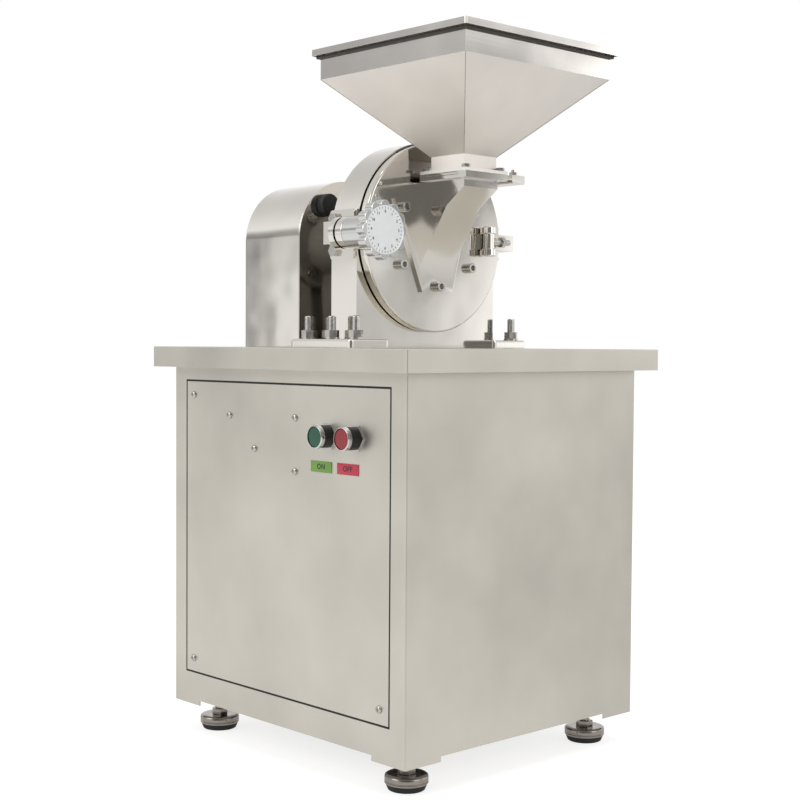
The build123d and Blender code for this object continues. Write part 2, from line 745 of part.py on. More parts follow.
def motor_frame():
    frame = rod_x(FRAME_R, FRAME_X0, FRAME_X1, 0, Z_MOTOR)
    fin_r = FRAME_R + FIN_H
    for i in range(FIN_COUNT):
        turn = 360 / FIN_COUNT * i
        if FIN_FREE_ANGLE < turn % 180 < 180 - FIN_FREE_ANGLE:
            fin = block(FRAME_X0 + FIN_INSET, FRAME_X1 - FIN_INSET, -FIN_T / 2, FIN_T / 2, 0, fin_r)
            frame += Pos(0, 0, Z_MOTOR) * Rot(turn, 0, 0) * fin
    x = (FRAME_X0 + FRAME_X1) / 2
    half = TERMINAL_BOX_W / 2
    frame += block(x - half, x + half, -TERMINAL_BOX_D / 2, TERMINAL_BOX_D / 2, Z_MOTOR, Z_MOTOR + fin_r)
    out = MOTOR_FOOT_A / 2 + MOTOR_FOOT_W / 2
    for foot_x in MOTOR_FOOT_X:
        x0 = foot_x - MOTOR_FOOT_W / 2
        x1 = foot_x + MOTOR_FOOT_W / 2
        frame += block(x0, x1, -out, out, Z_MOTOR_FOOT, Z_MOTOR_FOOT + MOTOR_FOOT_T)
        frame += block(x0, x1, -PLINTH_HALF_W, PLINTH_HALF_W, Z_MOTOR_FOOT, Z_MOTOR)
        for side in (-1, 1):
            hole = MOTOR_BOLT_R + BOLT_CLEARANCE
            z1 = Z_MOTOR_FOOT + MOTOR_FOOT_T
            frame -= rod_z(hole, Z_MOTOR_FOOT, z1, foot_x, side * MOTOR_FOOT_A / 2)
    return frame - rod_x(FRAME_BORE_R, FRAME_X0, FRAME_X1, 0, Z_MOTOR)


def motor_stator():
    outer = FRAME_BORE_R - FIT
    stator = rod_x(outer, CORE_X0, CORE_X1, 0, Z_MOTOR)
    stator += rod_x(outer - WINDING_IN, CORE_X0 - WINDING_L, CORE_X1 + WINDING_L, 0, Z_MOTOR)
    bore = CORE_R + AIR_GAP
    return stator - rod_x(bore, CORE_X0 - WINDING_L, CORE_X1 + WINDING_L, 0, Z_MOTOR)


def motor_end_shields():
    bore = MOTOR_SHAFT_R + FIT
    front = rod_x(FRAME_R, MOTOR_FACE + SHIELD_SET, FRAME_X0, 0, Z_MOTOR)
    front = chamfer(front.edges().filter_by(GeomType.CIRCLE).sort_by(Axis.X)[0], SHIELD_EDGE)
    rear = rod_x(FRAME_R, FRAME_X1, SHIELD_X1, 0, Z_MOTOR)
    rear += rod_x(FAN_COVER_R - FAN_COVER_SHEET - FIT, SHIELD_X1 - SPIGOT_L, SHIELD_X1, 0, Z_MOTOR)
    shields = [front, rear]
    cut = rod_x(bore, MOTOR_FACE, SHIELD_X1, 0, Z_MOTOR)
    return Compound([(shield - cut).solid() for shield in shields])


def motor_rotor():
    shaft = rod_x(MOTOR_SHAFT_R, MOTOR_END, FAN_X0 + FAN_L, 0, Z_MOTOR)
    return shaft + rod_x(CORE_R, CORE_X0, CORE_X1, 0, Z_MOTOR)


def motor_fan():
    fan = rod_x(FAN_HUB_R, FAN_X0, FAN_X0 + FAN_L, 0, Z_MOTOR)
    half = FAN_SHEET / 2
    blade = block(FAN_X0 + FAN_SHEET, FAN_X0 + FAN_L, -half, half, 0, FAN_R)
    for i in range(FAN_BLADES):
        fan += Pos(0, 0, Z_MOTOR) * Rot(360 / FAN_BLADES * i, 0, 0) * blade
    fan += rod_x(FAN_R, FAN_X0, FAN_X0 + FAN_SHEET, 0, Z_MOTOR)
    return fan - rod_x(MOTOR_SHAFT_R + FIT, FAN_X0, FAN_X0 + FAN_L, 0, Z_MOTOR)


def fan_cover():
    x0 = SHIELD_X1 - SPIGOT_L
    x1 = x0 + FAN_COVER_L
    cover = rod_x(FAN_COVER_R, x0, x1, 0, Z_MOTOR)
    cover = fillet(cover.edges().filter_by(GeomType.CIRCLE).sort_by(Axis.X)[-1], FAN_COVER_EDGE)
    cover -= rod_x(FAN_COVER_R - FAN_COVER_SHEET, x0, x1 - GRILLE_T, 0, Z_MOTOR)
    slot = block(x1 - GRILLE_T, x1, -GRILLE_SLOT_W / 2, GRILLE_SLOT_W / 2, GRILLE_R_IN, GRILLE_R_OUT)
    for i in range(GRILLE_SLOTS):
        cover -= Pos(0, 0, Z_MOTOR) * Rot(360 / GRILLE_SLOTS * i, 0, 0) * slot
    return cover


def motor_terminal_box():
    x = (FRAME_X0 + FRAME_X1) / 2
    z0 = Z_MOTOR + FRAME_R + FIN_H
    half_w = TERMINAL_BOX_W / 2
    half_d = TERMINAL_BOX_D / 2
    box = block(x - half_w, x + half_w, -half_d, half_d, z0, z0 + TERMINAL_BOX_H)
    box = fillet(vertical_edges(box), TERMINAL_BOX_CORNER)
    return fillet(box.faces().sort_by(Axis.Z)[-1].edges(), TERMINAL_BOX_CORNER / 2)


def motor_bolt(x, y):
    z_head = Z_MOTOR_FOOT + MOTOR_FOOT_T
    z_nut = Z_MOTOR_FOOT - RAIL_SHEET
    bolt = hex_z(BASE_NUT_FLATS, z_head, z_head + BASE_HEAD_H, x, y)
    bolt += rod_z(MOTOR_BOLT_R, z_nut - MOTOR_BOLT_END, z_head, x, y)
    return (bolt + hex_z(BASE_NUT_FLATS, z_nut - BASE_NUT_H, z_nut, x, y)).solid()


# Belt drive
GROOVE_X = (BELT_X - GROOVE_PITCH / 2, BELT_X + GROOVE_PITCH / 2)
BELT_RISE = Z_AXIS - Z_MOTOR
BELT_LEAN = degrees(asin((MOTOR_PULLEY_R - SPINDLE_PULLEY_R) / BELT_RISE))
BELT_SPAN = sqrt(BELT_RISE**2 - (MOTOR_PULLEY_R - SPINDLE_PULLEY_R) ** 2)


def wedge(half_top, depth, radius):
    half_low = half_top - depth * tan(radians(BELT_ANGLE))
    return [(-half_top, radius), (half_top, radius), (half_low, radius - depth), (-half_low, radius - depth)]


def pulley(r, z, bore):
    wheel = rod_x(r, PULLEY_X0, PULLEY_X1, 0, z)
    wheel -= rod_x(bore + FIT, PULLEY_X0, PULLEY_X1, 0, z)
    for x in GROOVE_X:
        section = Plane.XZ * Polygon(*wedge(BELT_TOP / 2 + GROOVE_SIDE, GROOVE_DEPTH, r), align=None)
        groove = revolve(section, Axis.X)
        wheel -= Pos(x, 0, z) * groove
    return wheel


def belt_arc(r, z, start, sweep):
    section = Plane.XZ * Polygon(*wedge(BELT_TOP / 2, BELT_H, r), align=None)
    arc = revolve(section, Axis.X, sweep)
    return Pos(0, 0, z) * Rot(start, 0, 0) * arc


def belt_run(side):
    section = Plane.XZ * Polygon(*wedge(BELT_TOP / 2, BELT_H, MOTOR_PULLEY_R), align=None)
    run = extrude(section, BELT_SPAN, dir=(0, -side, 0))
    return Pos(0, 0, Z_MOTOR) * Rot(-side * (90 - BELT_LEAN), 0, 0) * run


def v_belts():
    wrap = 180 - 2 * BELT_LEAN
    belts = []
    for x in GROOVE_X:
        belt = belt_arc(SPINDLE_PULLEY_R, Z_AXIS, -(90 - BELT_LEAN), wrap)
        belt += belt_arc(MOTOR_PULLEY_R, Z_MOTOR, 90 - BELT_LEAN, 360 - wrap)
        belt += belt_run(1) + belt_run(-1)
        belts.append((Pos(x, 0, 0) * belt).solid())
    return Compound(belts)


# Mill housing and what stands on the table
def mill_housing():
    body = arch(HOUSING_R, 0, HOUSING_L, Z_TOP, Z_AXIS)
    for side in (-1, 1):
        y = sorted((side * (MILL_FOOT_Y - MILL_FOOT_W), side * MILL_FOOT_Y))
        foot = block(MILL_FOOT_BACK, MILL_FOOT_FRONT, *y, Z_TOP, Z_TOP + MILL_FOOT_T)
        foot = fillet(vertical_edges(foot), MILL_FOOT_CORNER)
        body += fillet(foot.faces().sort_by(Axis.Z)[-1].edges(), MILL_FOOT_EDGE)
    half = BRACKET_H / 2
    body += block(0, HOUSING_L, -HOUSING_R, HOUSING_R, Z_AXIS - half, Z_AXIS + half)
    body -= rod_x(CHAMBER_R, BACK_WALL, HOUSING_L, 0, Z_AXIS)
    body -= rod_x(SHAFT_HOLE_R, 0, BACK_WALL, 0, Z_AXIS)
    groove = rod_x(SCREEN_R + SCREEN_T + BOLT_CLEARANCE, BACK_WALL - SCREEN_GROOVE, BACK_WALL, 0, Z_AXIS)
    groove -= rod_x(SCREEN_R - BOLT_CLEARANCE, BACK_WALL - SCREEN_GROOVE, BACK_WALL, 0, Z_AXIS)
    body -= groove
    x1 = OUTLET_X0 + OUTLET_L
    body -= block(OUTLET_X0, x1, -OUTLET_W / 2, OUTLET_W / 2, Z_TOP, Z_AXIS - CHAMBER_R / 2)
    for x, y in BASE_BOLT_PLACES:
        body -= rod_z(BASE_BOLT_R + BOLT_CLEARANCE, Z_TOP, Z_TOP + MILL_FOOT_T, x, y)
    hole = M8_R + BOLT_CLEARANCE
    for x, y, z, side in bracket_bolt_places():
        y_in = side * (HOUSING_R - M8_GRIP)
        body -= rod_y(hole, *sorted((y, y_in)), x, z)
    for y, z in bearing_bolt_places():
        body -= rod_x(hole, 0, BACK_WALL - SCREEN_GROOVE - HOLE_SPARE, y, z)
    return body


def bracket_bolt_places():
    places = []
    for side, x in ((-1, LATCH_BOLT_X), (1, HINGE_X - HINGE_BOLT_OFF), (1, HINGE_X + HINGE_BOLT_OFF)):
        for up in (-1, 1):
            places.append((x, side * HOUSING_R, Z_AXIS + up * BRACKET_BOLT_DROP, side))
    return places


def bearing_bolt_places():
    reach = BEARING_BOLT_PCR * sqrt(0.5)
    return [(sy * reach, Z_AXIS + sz * reach) for sy in (-1, 1) for sz in (-1, 1)]


def base_bolt(x, y, z_foot):
    z_under = Z_TOP - TABLE_SHEET
    bolt = rod_z(BASE_BOLT_R, z_under, z_foot + BASE_STUD_UP, x, y)
    bolt = fillet(bolt.edges().filter_by(GeomType.CIRCLE).sort_by(Axis.Z)[-1], BASE_STUD_EDGE)
    z_nut = z_foot + WASHER_T
    bolt += hex_z(BASE_NUT_FLATS, z_nut, z_nut + BASE_NUT_H, x, y)
    bolt += rod_z(WASHER_R, z_foot, z_nut, x, y)
    return (bolt + hex_z(BASE_NUT_FLATS, z_under - BASE_HEAD_H, z_under, x, y)).solid()


def hold_down_bolts():
    bolts = [base_bolt(x, y, Z_TOP + MILL_FOOT_T) for x, y in BASE_BOLT_PLACES]
    bolts += [base_bolt(x, y, Z_TOP + PEDESTAL_T) for x, y in PEDESTAL_BOLT_PLACES]
    bolts += [motor_bolt(x, side * MOTOR_FOOT_A / 2) for x in MOTOR_FOOT_X for side in (-1, 1)]
    return Compound(bolts)


def bearing_housing():
    x0 = X_BEARING_BACK
    body = rod_x(BEARING_HOUSING_R, x0, 0, 0, Z_AXIS)
    body += rod_x(BEARING_FLANGE_R, -BEARING_FLANGE_T, 0, 0, Z_AXIS)
    body += block(x0 + PEDESTAL_WEB_IN, -BEARING_FLANGE_T, -PEDESTAL_WEB / 2, PEDESTAL_WEB / 2, Z_TOP, Z_AXIS)
    body += block(x0 + PEDESTAL_IN, -PEDESTAL_IN, -PEDESTAL_W / 2, PEDESTAL_W / 2, Z_TOP, Z_TOP + PEDESTAL_T)
    body -= rod_x(BEARING_R - BEARING_SHOULDER, x0, 0, 0, Z_AXIS)
    body -= rod_x(BEARING_R + FIT, x0, BEARING_PLACES[0] + BEARING_W, 0, Z_AXIS)
    body -= rod_x(BEARING_R + FIT, BEARING_PLACES[1], 0, 0, Z_AXIS)
    for y, z in bearing_bolt_places():
        body -= rod_x(M8_R + BOLT_CLEARANCE, -BEARING_FLANGE_T, 0, y, z)
    for x, y in PEDESTAL_BOLT_PLACES:
        body -= rod_z(BASE_BOLT_R + BOLT_CLEARANCE, Z_TOP, Z_TOP + PEDESTAL_T, x, y)
    return body


def bearing_outer_rings():
    shield_r = SPINDLE_R + BEARING_RACE + BEARING_SHIELD_GAP
    rings = []
    for x in BEARING_PLACES:
        ring = rod_x(BEARING_R, x, x + BEARING_W, 0, Z_AXIS)
        ring -= rod_x(shield_r, x, x + BEARING_W, 0, Z_AXIS)
        inside = (x + BEARING_SHIELD_T, x + BEARING_W - BEARING_SHIELD_T)
        ring -= rod_x(BEARING_R - BEARING_RACE, *inside, 0, Z_AXIS)
        rings.append(ring.solid())
    return Compound(rings)


def bearing_inner_rings():
    rings = []
    for x in BEARING_PLACES:
        ring = rod_x(SPINDLE_R + BEARING_RACE, x, x + BEARING_W, 0, Z_AXIS)
        rings.append((ring - rod_x(SPINDLE_R + FIT, x, x + BEARING_W, 0, Z_AXIS)).solid())
    return Compound(rings)


def bearing_caps():
    x0 = X_BEARING_BACK
    bore = SPINDLE_R + CAP_SHAFT_GAP
    lip = SPINDLE_R + BEARING_RACE + BEARING_SHIELD_GAP
    rear = rod_x(BEARING_HOUSING_R, x0 - REAR_CAP_T, x0, 0, Z_AXIS)
    rear += rod_x(BEARING_R, x0, x0 + REAR_CAP_SPIGOT, 0, Z_AXIS)
    rear -= rod_x(bore, x0 - REAR_CAP_T, x0 + REAR_CAP_SPIGOT, 0, Z_AXIS)
    rear -= rod_x(lip, x0, x0 + REAR_CAP_SPIGOT, 0, Z_AXIS)
    front = rod_x(BEARING_R, -FRONT_CAP_T, 0, 0, Z_AXIS)
    front -= rod_x(bore, -FRONT_CAP_T, 0, 0, Z_AXIS)
    front -= rod_x(lip, -FRONT_CAP_T, -FRONT_CAP_T / 2, 0, Z_AXIS)
    return Compound([rear.solid(), front.solid()])


def ring_screen():
    x0 = BACK_WALL - SCREEN_GROOVE
    x1 = HOUSING_L - SCREEN_GAP
    ring = rod_x(SCREEN_R + SCREEN_T, x0, x1, 0, Z_AXIS) - rod_x(SCREEN_R, x0, x1, 0, Z_AXIS)
    half = SCREEN_SLOT_W / 2
    r = (SCREEN_R - SCREEN_T, SCREEN_R + 2 * SCREEN_T)
    slot = block(BACK_WALL + SCREEN_RIM, x1 - SCREEN_RIM, -half, half, *r)
    for i in range(SCREEN_SLOTS):
        ring -= Pos(0, 0, Z_AXIS) * Rot(360 / SCREEN_SLOTS * i, 0, 0) * slot
    return ring


# Spindle group
def spindle():
    nut_end = X_ROTOR + ROTOR_HUB_L + ROTOR_NUT_H + SPINDLE_THREAD_END
    shaft = rod_x(SPINDLE_R, X_BEARING_BACK - REAR_CAP_T, X_ROTOR - SPINDLE_STEP, 0, Z_AXIS)
    shaft += rod_x(SPINDLE_END_R, PULLEY_X0 - SPINDLE_TAIL, X_ROTOR + ROTOR_HUB_L - SPINDLE_STEP, 0, Z_AXIS)
    return shaft + rod_x(SPINDLE_THREAD_R, X_ROTOR, nut_end, 0, Z_AXIS)


def rotor_disc():
    face = X_ROTOR + ROTOR_T
    disc = rod_x(ROTOR_R, X_ROTOR, face, 0, Z_AXIS)
    disc += rod_x(ROTOR_HUB_R, X_ROTOR, X_ROTOR + ROTOR_HUB_L, 0, Z_AXIS)
    disc += teeth(ROTOR_RING_R, ROTOR_TOOTH_COUNTS, face - TOOTH_ROOT, face + ROTOR_TOOTH_L, 0)
    return disc - rod_x(SPINDLE_END_R + FIT, X_ROTOR, X_ROTOR + ROTOR_HUB_L, 0, Z_AXIS)


def teeth(radii, counts, x0, x1, phase):
    pins = Part()
    for r, count in zip(radii, counts):
        for i in range(count):
            a = radians(360 / count * (i + phase))
            pins += rod_x(TOOTH_R, x0, x1, r * cos(a), Z_AXIS + r * sin(a))
    return pins


def rotor_nut():
    x0 = X_ROTOR + ROTOR_HUB_L
    nut = hex_x(ROTOR_NUT_FLATS, x0, x0 + ROTOR_NUT_H, 0, Z_AXIS)
    return nut - rod_x(SPINDLE_THREAD_R + FIT, x0, x0 + ROTOR_NUT_H, 0, Z_AXIS)


# Door group
def door():
    disc = rod_x(DOOR_R, X_DOOR, X_FRONT, 0, Z_AXIS)
    disc = chamfer(disc.edges().filter_by(GeomType.CIRCLE).sort_by(Axis.X)[-1], DOOR_EDGE)
    lug = rod_x(LATCH_BOSS_R, X_DOOR, X_FRONT, LATCH_Y, Z_AXIS)
    root = DOOR_LUG_ROOT - DOOR_R
    lug += block(X_DOOR, X_FRONT, LATCH_Y, root, Z_AXIS - LATCH_BOSS_R, Z_AXIS + LATCH_BOSS_R)
    body = disc + lug
    body -= rod_x(HAND_SCREW_R + FIT, X_DOOR, X_FRONT, LATCH_Y, Z_AXIS)
    body -= rod_x(FEED_HOLE_R, X_DOOR, X_FRONT, 0, Z_AXIS)
    hole = M8_R + BOLT_CLEARANCE
    for dy, dz in DISC_BOLT_PLACES + SHARED_BOLT_PLACES:
        body -= rod_x(hole, X_DOOR, X_FRONT, dy, Z_AXIS + dz)
    for dy, dz in CHUTE_BOLT_PLACES:
        body -= rod_x(hole, X_FRONT - M8_GRIP + CHUTE_FLANGE_T, X_FRONT, dy, Z_AXIS + dz)
    return body


def hinge_strap():
    z = (Z_AXIS - HINGE_ARM_H / 2, Z_AXIS + HINGE_ARM_H / 2)
    y_end = HINGE_Y + HINGE_ARM_T / 2
    strap = block(X_FRONT, X_FRONT + STRAP_T, STRAP_IN, y_end, *z) + hinge_barrel()
    strap += block(X_DOOR, X_FRONT, DOOR_R + STRAP_GAP, y_end, *z)
    strap += block(HINGE_X, X_FRONT, HINGE_Y - HINGE_ARM_T / 2, y_end, *z)
    strap += rod_z(HINGE_KNUCKLE_R, *z, HINGE_X, HINGE_Y)
    strap -= rod_z(HINGE_PIN_R + FIT, *z, HINGE_X, HINGE_Y)
    return strap - rod_y(M8_R + FIT, BARREL_Y, BARREL_Y + BARREL_R, X_BARREL, Z_AXIS)


def hinge_barrel():
    z0 = Z_AXIS - BARREL_H / 2
    z1 = Z_AXIS + BARREL_H / 2
    barrel = rod_z(BARREL_WAIST_R, z0, z1, X_BARREL, BARREL_Y)
    for low, high in ((z0, z0 + BARREL_RIM_H), (z1 - BARREL_RIM_H, z1)):
        rim = rod_z(BARREL_R, low, high, X_BARREL, BARREL_Y)
        barrel += fillet(rim.edges().filter_by(GeomType.CIRCLE), BARREL_EDGE)
    return barrel


def door_gasket():
    ring = rod_x(GASKET_R + GASKET_W, X_FACE, X_DOOR, 0, Z_AXIS)
    return ring - rod_x(GASKET_R, X_FACE, X_DOOR, 0, Z_AXIS)


def fixed_disc():
    x0 = X_DOOR - FIXED_DISC_T
    disc = rod_x(FIXED_DISC_R, x0, X_DOOR, 0, Z_AXIS)
    disc += teeth(FIXED_RING_R, FIXED_TOOTH_COUNTS, x0 - FIXED_TOOTH_L, x0 + TOOTH_ROOT, 0.5)
    disc -= rod_x(FEED_HOLE_R, x0, X_DOOR, 0, Z_AXIS)
    for dy, dz in DISC_BOLT_PLACES + SHARED_BOLT_PLACES:
        disc -= rod_x(M8_R + BOLT_CLEARANCE, x0, X_DOOR, dy, Z_AXIS + dz)
    return disc


def socket_screw(x_seat, y, z, grip):
    head = rod_x(M8_HEAD_R, x_seat, x_seat + M8_HEAD_H, y, z)
    head = fillet(head.edges().filter_by(GeomType.CIRCLE).sort_by(Axis.X)[-1], M8_HEAD_EDGE)
    x_end = x_seat + M8_HEAD_H
    head -= hex_x(2 * M8_SOCKET_R, x_end - M8_SOCKET_L, x_end, y, z)
    return head + rod_x(M8_R, x_seat - grip, x_seat, y, z)


def door_bolts():
    bolts = []
    grip = DOOR_T + FIXED_DISC_T - HOLE_SPARE
    for dy, dz in DISC_BOLT_PLACES:
        bolts.append(socket_screw(X_FRONT, dy, Z_AXIS + dz, grip).solid())
    for dy, dz in SHARED_BOLT_PLACES:
        bolts.append(socket_screw(X_CHUTE, dy, Z_AXIS + dz, grip + CHUTE_FLANGE_T).solid())
    for dy, dz in CHUTE_BOLT_PLACES:
        bolts.append(socket_screw(X_CHUTE, dy, Z_AXIS + dz, M8_GRIP - HOLE_SPARE).solid())
    y0 = BARREL_Y + BARREL_R
    screw = rod_y(M8_R, BARREL_Y, y0 + BARREL_SCREW_L, X_BARREL, Z_AXIS)
    nut_y = (y0 + BARREL_NUT_OFF, y0 + BARREL_NUT_OFF + HEX_M8_H)
    bolts.append((screw + hex_y(HEX_M8, *nut_y, X_BARREL, Z_AXIS)).solid())
    return Compound(bolts)


def hand_wheel():
    x0 = X_FRONT + SLEEVE_GAP
    x1 = x0 + SLEEVE_L
    x2 = x1 + WHEEL_T
    wheel = rod_x(WHEEL_R - WHEEL_WAIST_IN, x1, x2, LATCH_Y, Z_AXIS)
    for i in range(WHEEL_LOBES):
        a = radians(360 / WHEEL_LOBES * i)
        r = WHEEL_R - LOBE_R
        wheel += rod_x(LOBE_R, x1, x2, LATCH_Y + r * cos(a), Z_AXIS + r * sin(a))
    wheel += rod_x(SLEEVE_R, x0, x1, LATCH_Y, Z_AXIS)
    wheel -= rod_x(DIAL_R + FIT, x2 - DIAL_T, x2, LATCH_Y, Z_AXIS)
    return wheel - rod_x(HAND_SCREW_R + FIT, x0, x1 + HAND_SCREW_IN_WHEEL, LATCH_Y, Z_AXIS)


def dial_plate():
    x2 = X_FRONT + SLEEVE_GAP + SLEEVE_L + WHEEL_T
    return rod_x(DIAL_R, x2 - DIAL_T, x2, LATCH_Y, Z_AXIS)


def hand_screw():
    x1 = X_FRONT + SLEEVE_GAP + SLEEVE_L + HAND_SCREW_IN_WHEEL
    screw = rod_x(HAND_SCREW_R, X_FACE - HAND_SCREW_GRIP, x1, LATCH_Y, Z_AXIS)
    return chamfer(screw.edges().filter_by(GeomType.CIRCLE).sort_by(Axis.X)[0], HAND_SCREW_EDGE)


def latch_bracket():
    half = BRACKET_H / 2
    x1 = X_FACE - LATCH_FACE_GAP
    y_plate = -HOUSING_R - BRACKET_T
    plate = block(BRACKET_BACK, x1, y_plate, -HOUSING_R, Z_AXIS - half, Z_AXIS + half)
    plate = fillet(plate.edges().filter_by(Axis.Y), BRACKET_CORNER)
    tall = LATCH_BLOCK_H / 2
    boss = rod_x(LATCH_BOSS_R, x1 - LATCH_COLLAR_L, x1, LATCH_Y, Z_AXIS)
    boss += block(x1 - LATCH_BOSS_L, x1, LATCH_Y - tall, y_plate, Z_AXIS - tall, Z_AXIS + tall)
    body = plate + boss
    body -= block(0, X_FACE, -HOUSING_R, 0, Z_AXIS - half, Z_AXIS + half)
    body -= rod_x(HAND_SCREW_R + THREAD_SLACK, x1 - LATCH_BOSS_L, x1, LATCH_Y, Z_AXIS)
    for x, y, z, side in bracket_bolt_places():
        if side < 0:
            body -= rod_y(M8_R + BOLT_CLEARANCE, y_plate, y, x, z)
    return body


def hinge_bracket():
    half = BRACKET_H / 2
    y_plate = HOUSING_R + BRACKET_T
    reach = HINGE_BOLT_OFF + HEX_M8 / 2
    body = block(HINGE_X - reach, HINGE_X + reach, HOUSING_R, y_plate, Z_AXIS - half, Z_AXIS + half)
    body = fillet(body.edges().filter_by(Axis.Y), BRACKET_CORNER)
    start = HINGE_ARM_H / 2 + HINGE_END_GAP
    for up in (-1, 1):
        z = sorted((Z_AXIS + up * start, Z_AXIS + up * (start + HINGE_KNUCKLE_H)))
        r = HINGE_KNUCKLE_R
        body += block(HINGE_X - r, HINGE_X + r, HOUSING_R, HINGE_Y, *z) + rod_z(r, *z, HINGE_X, HINGE_Y)
        body -= rod_z(HINGE_PIN_R + FIT, *z, HINGE_X, HINGE_Y)
    for x, y, z, side in bracket_bolt_places():
        if side > 0:
            body -= rod_y(M8_R + BOLT_CLEARANCE, y, y_plate, x, z)
    return body


def hinge_pin():
    end = HINGE_ARM_H / 2 + HINGE_END_GAP + HINGE_KNUCKLE_H
    pin = rod_z(HINGE_PIN_R, Z_AXIS - end - HINGE_PIN_END, Z_AXIS + end, HINGE_X, HINGE_Y)
    return pin + rod_z(HINGE_KNUCKLE_R, Z_AXIS + end, Z_AXIS + end + HINGE_PIN_END, HINGE_X, HINGE_Y)


def bracket_bolts():
    bolts = []
    for x, y, z, side in bracket_bolt_places():
        seat = y + side * BRACKET_T
        head = sorted((seat, seat + side * HEX_M8_H))
        shank = sorted((seat, side * (HOUSING_R - M8_GRIP + HOLE_SPARE)))
        bolts.append((hex_y(HEX_M8, *head, x, z) + rod_y(M8_R, *shank, x, z)).solid())
    seat = -BEARING_FLANGE_T
    for y, z in bearing_bolt_places():
        bolt = hex_x(HEX_M8, seat - HEX_M8_H, seat, y, z)
        bolts.append((bolt + rod_x(M8_R, seat, BACK_WALL - SCREEN_GROOVE - 2 * HOLE_SPARE, y, z)).solid())
    return Compound(bolts)


# Feed chute, gate, hopper and lid
def chute_profile(inset):
    steep = (CHUTE_BEND - CHUTE_BOTTOM) / (X_CHUTE_BEND - X_CHUTE)
    shallow = (CHUTE_KNEE - CHUTE_BEND) / (X_CHUTE_TIP - X_CHUTE_BEND)
    rise_steep = inset * sqrt(1 + steep**2)
    rise_shallow = inset * sqrt(1 + shallow**2)
    z_low = Z_AXIS + CHUTE_BOTTOM + rise_steep
    x_bend = X_CHUTE_BEND + (rise_shallow - rise_steep) / (steep - shallow)
    z_bend = z_low + steep * (x_bend - X_CHUTE)
    x_tip = X_CHUTE_TIP - inset
    z_knee = z_bend + shallow * (x_tip - x_bend)
    return [(X_CHUTE, z_low), (x_bend, z_bend), (x_tip, z_knee), (x_tip, Z_CHUTE_TOP), (X_CHUTE, Z_CHUTE_TOP)]


def feed_chute():
    body = prism_y(chute_profile(0), -CHUTE_HALF_W, CHUTE_HALF_W)
    low = CHUTE_FLANGE_LOW_W / 2
    high = CHUTE_FLANGE_HIGH_W / 2
    z0 = Z_AXIS + CHUTE_FLANGE_BOTTOM
    z1 = Z_AXIS + CHUTE_FLANGE_TOP
    outline = [(-low, z0), (low, z0), (high, z1), (-high, z1)]
    body += prism_x(outline, X_FRONT, X_CHUTE)
    body += block(X_FRONT, X_CHUTE, -CHUTE_HALF_W, CHUTE_HALF_W, z0 + CHUTE_BACK_LOW, Z_CHUTE_TOP)
    half = GATE_FLANGE_W / 2
    body += block(X_GATE0, X_GATE1, -half, half, Z_CHUTE_TOP, Z_GATE)
    gate_half = GATE_W / 2 + SLIDE_GAP
    for x in ((X_GATE0, HOPPER_X - gate_half), (HOPPER_X + gate_half, X_GATE1)):
        body += block(*x, -half, half, Z_GATE, Z_HOPPER_FLANGE)
    inside = CHUTE_HALF_W - CHUTE_SHEET
    body -= prism_y(chute_profile(CHUTE_SHEET), -inside, inside)
    neck = NECK_W / 2 - HOPPER_SHEET
    body -= block(HOPPER_X - neck, HOPPER_X + neck, -neck, neck, Z_CHUTE_TOP, Z_GATE)
    feed_low = Z_AXIS + CHUTE_BOTTOM + CHUTE_SHEET * 2.0
    body -= block(X_FRONT, X_CHUTE, -inside, inside, feed_low, Z_AXIS + FEED_HOLE_R)
    for dy, dz in CHUTE_BOLT_PLACES + SHARED_BOLT_PLACES:
        body -= rod_x(M8_R + BOLT_CLEARANCE, X_FRONT, X_CHUTE, dy, Z_AXIS + dz)
    for x, y in flange_bolt_places():
        body -= rod_z(M6_R + BOLT_CLEARANCE, Z_CHUTE_TOP, Z_HOPPER_FLANGE, x, y)
    return body


def flange_bolt_places():
    x = (X_GATE0 + FLANGE_BOLT_INSET, X_GATE1 - FLANGE_BOLT_INSET)
    y = GATE_FLANGE_W / 2 - FLANGE_BOLT_INSET
    return [(px, side * y) for px in x for side in (-1, 1)]


def flange_bolts():
    bolts = []
    for x, y in flange_bolt_places():
        bolt = hex_z(HEX_M6, Z_NECK, Z_NECK + HEX_M6_H, x, y)
        bolts.append((bolt + rod_z(M6_R, Z_CHUTE_TOP + FLANGE_BOLT_END, Z_NECK, x, y)).solid())
    return Compound(bolts)


def feed_gate():
    z0 = Z_GATE + SLIDE_GAP
    z1 = z0 + GATE_T
    half_x = GATE_W / 2
    y0 = -GATE_FLANGE_W / 2
    y1 = GATE_FLANGE_W / 2 + GATE_REACH
    plate = block(HOPPER_X - half_x, HOPPER_X + half_x, y0, y1, z0, z1)
    low = (z0 + z1 - GATE_HANDLE_H) / 2
    handle = block(HOPPER_X - half_x, HOPPER_X + half_x, y1, y1 + GATE_HANDLE_L, low, low + GATE_HANDLE_H)
    handle = fillet(handle.edges().filter_by(Axis.X), GATE_HANDLE_EDGE)
    x_stud = HOPPER_X + half_x - GATE_STUD_IN
    y_stud = y1 + GATE_HANDLE_L / 2
    high = low + GATE_HANDLE_H
    stud = hex_z(HEX_M6, high, high + HEX_M6_H, x_stud, y_stud)
    stud += rod_z(M6_R, high, high + HEX_M6_H + GATE_STUD_UP, x_stud, y_stud)
    return plate + handle + stud


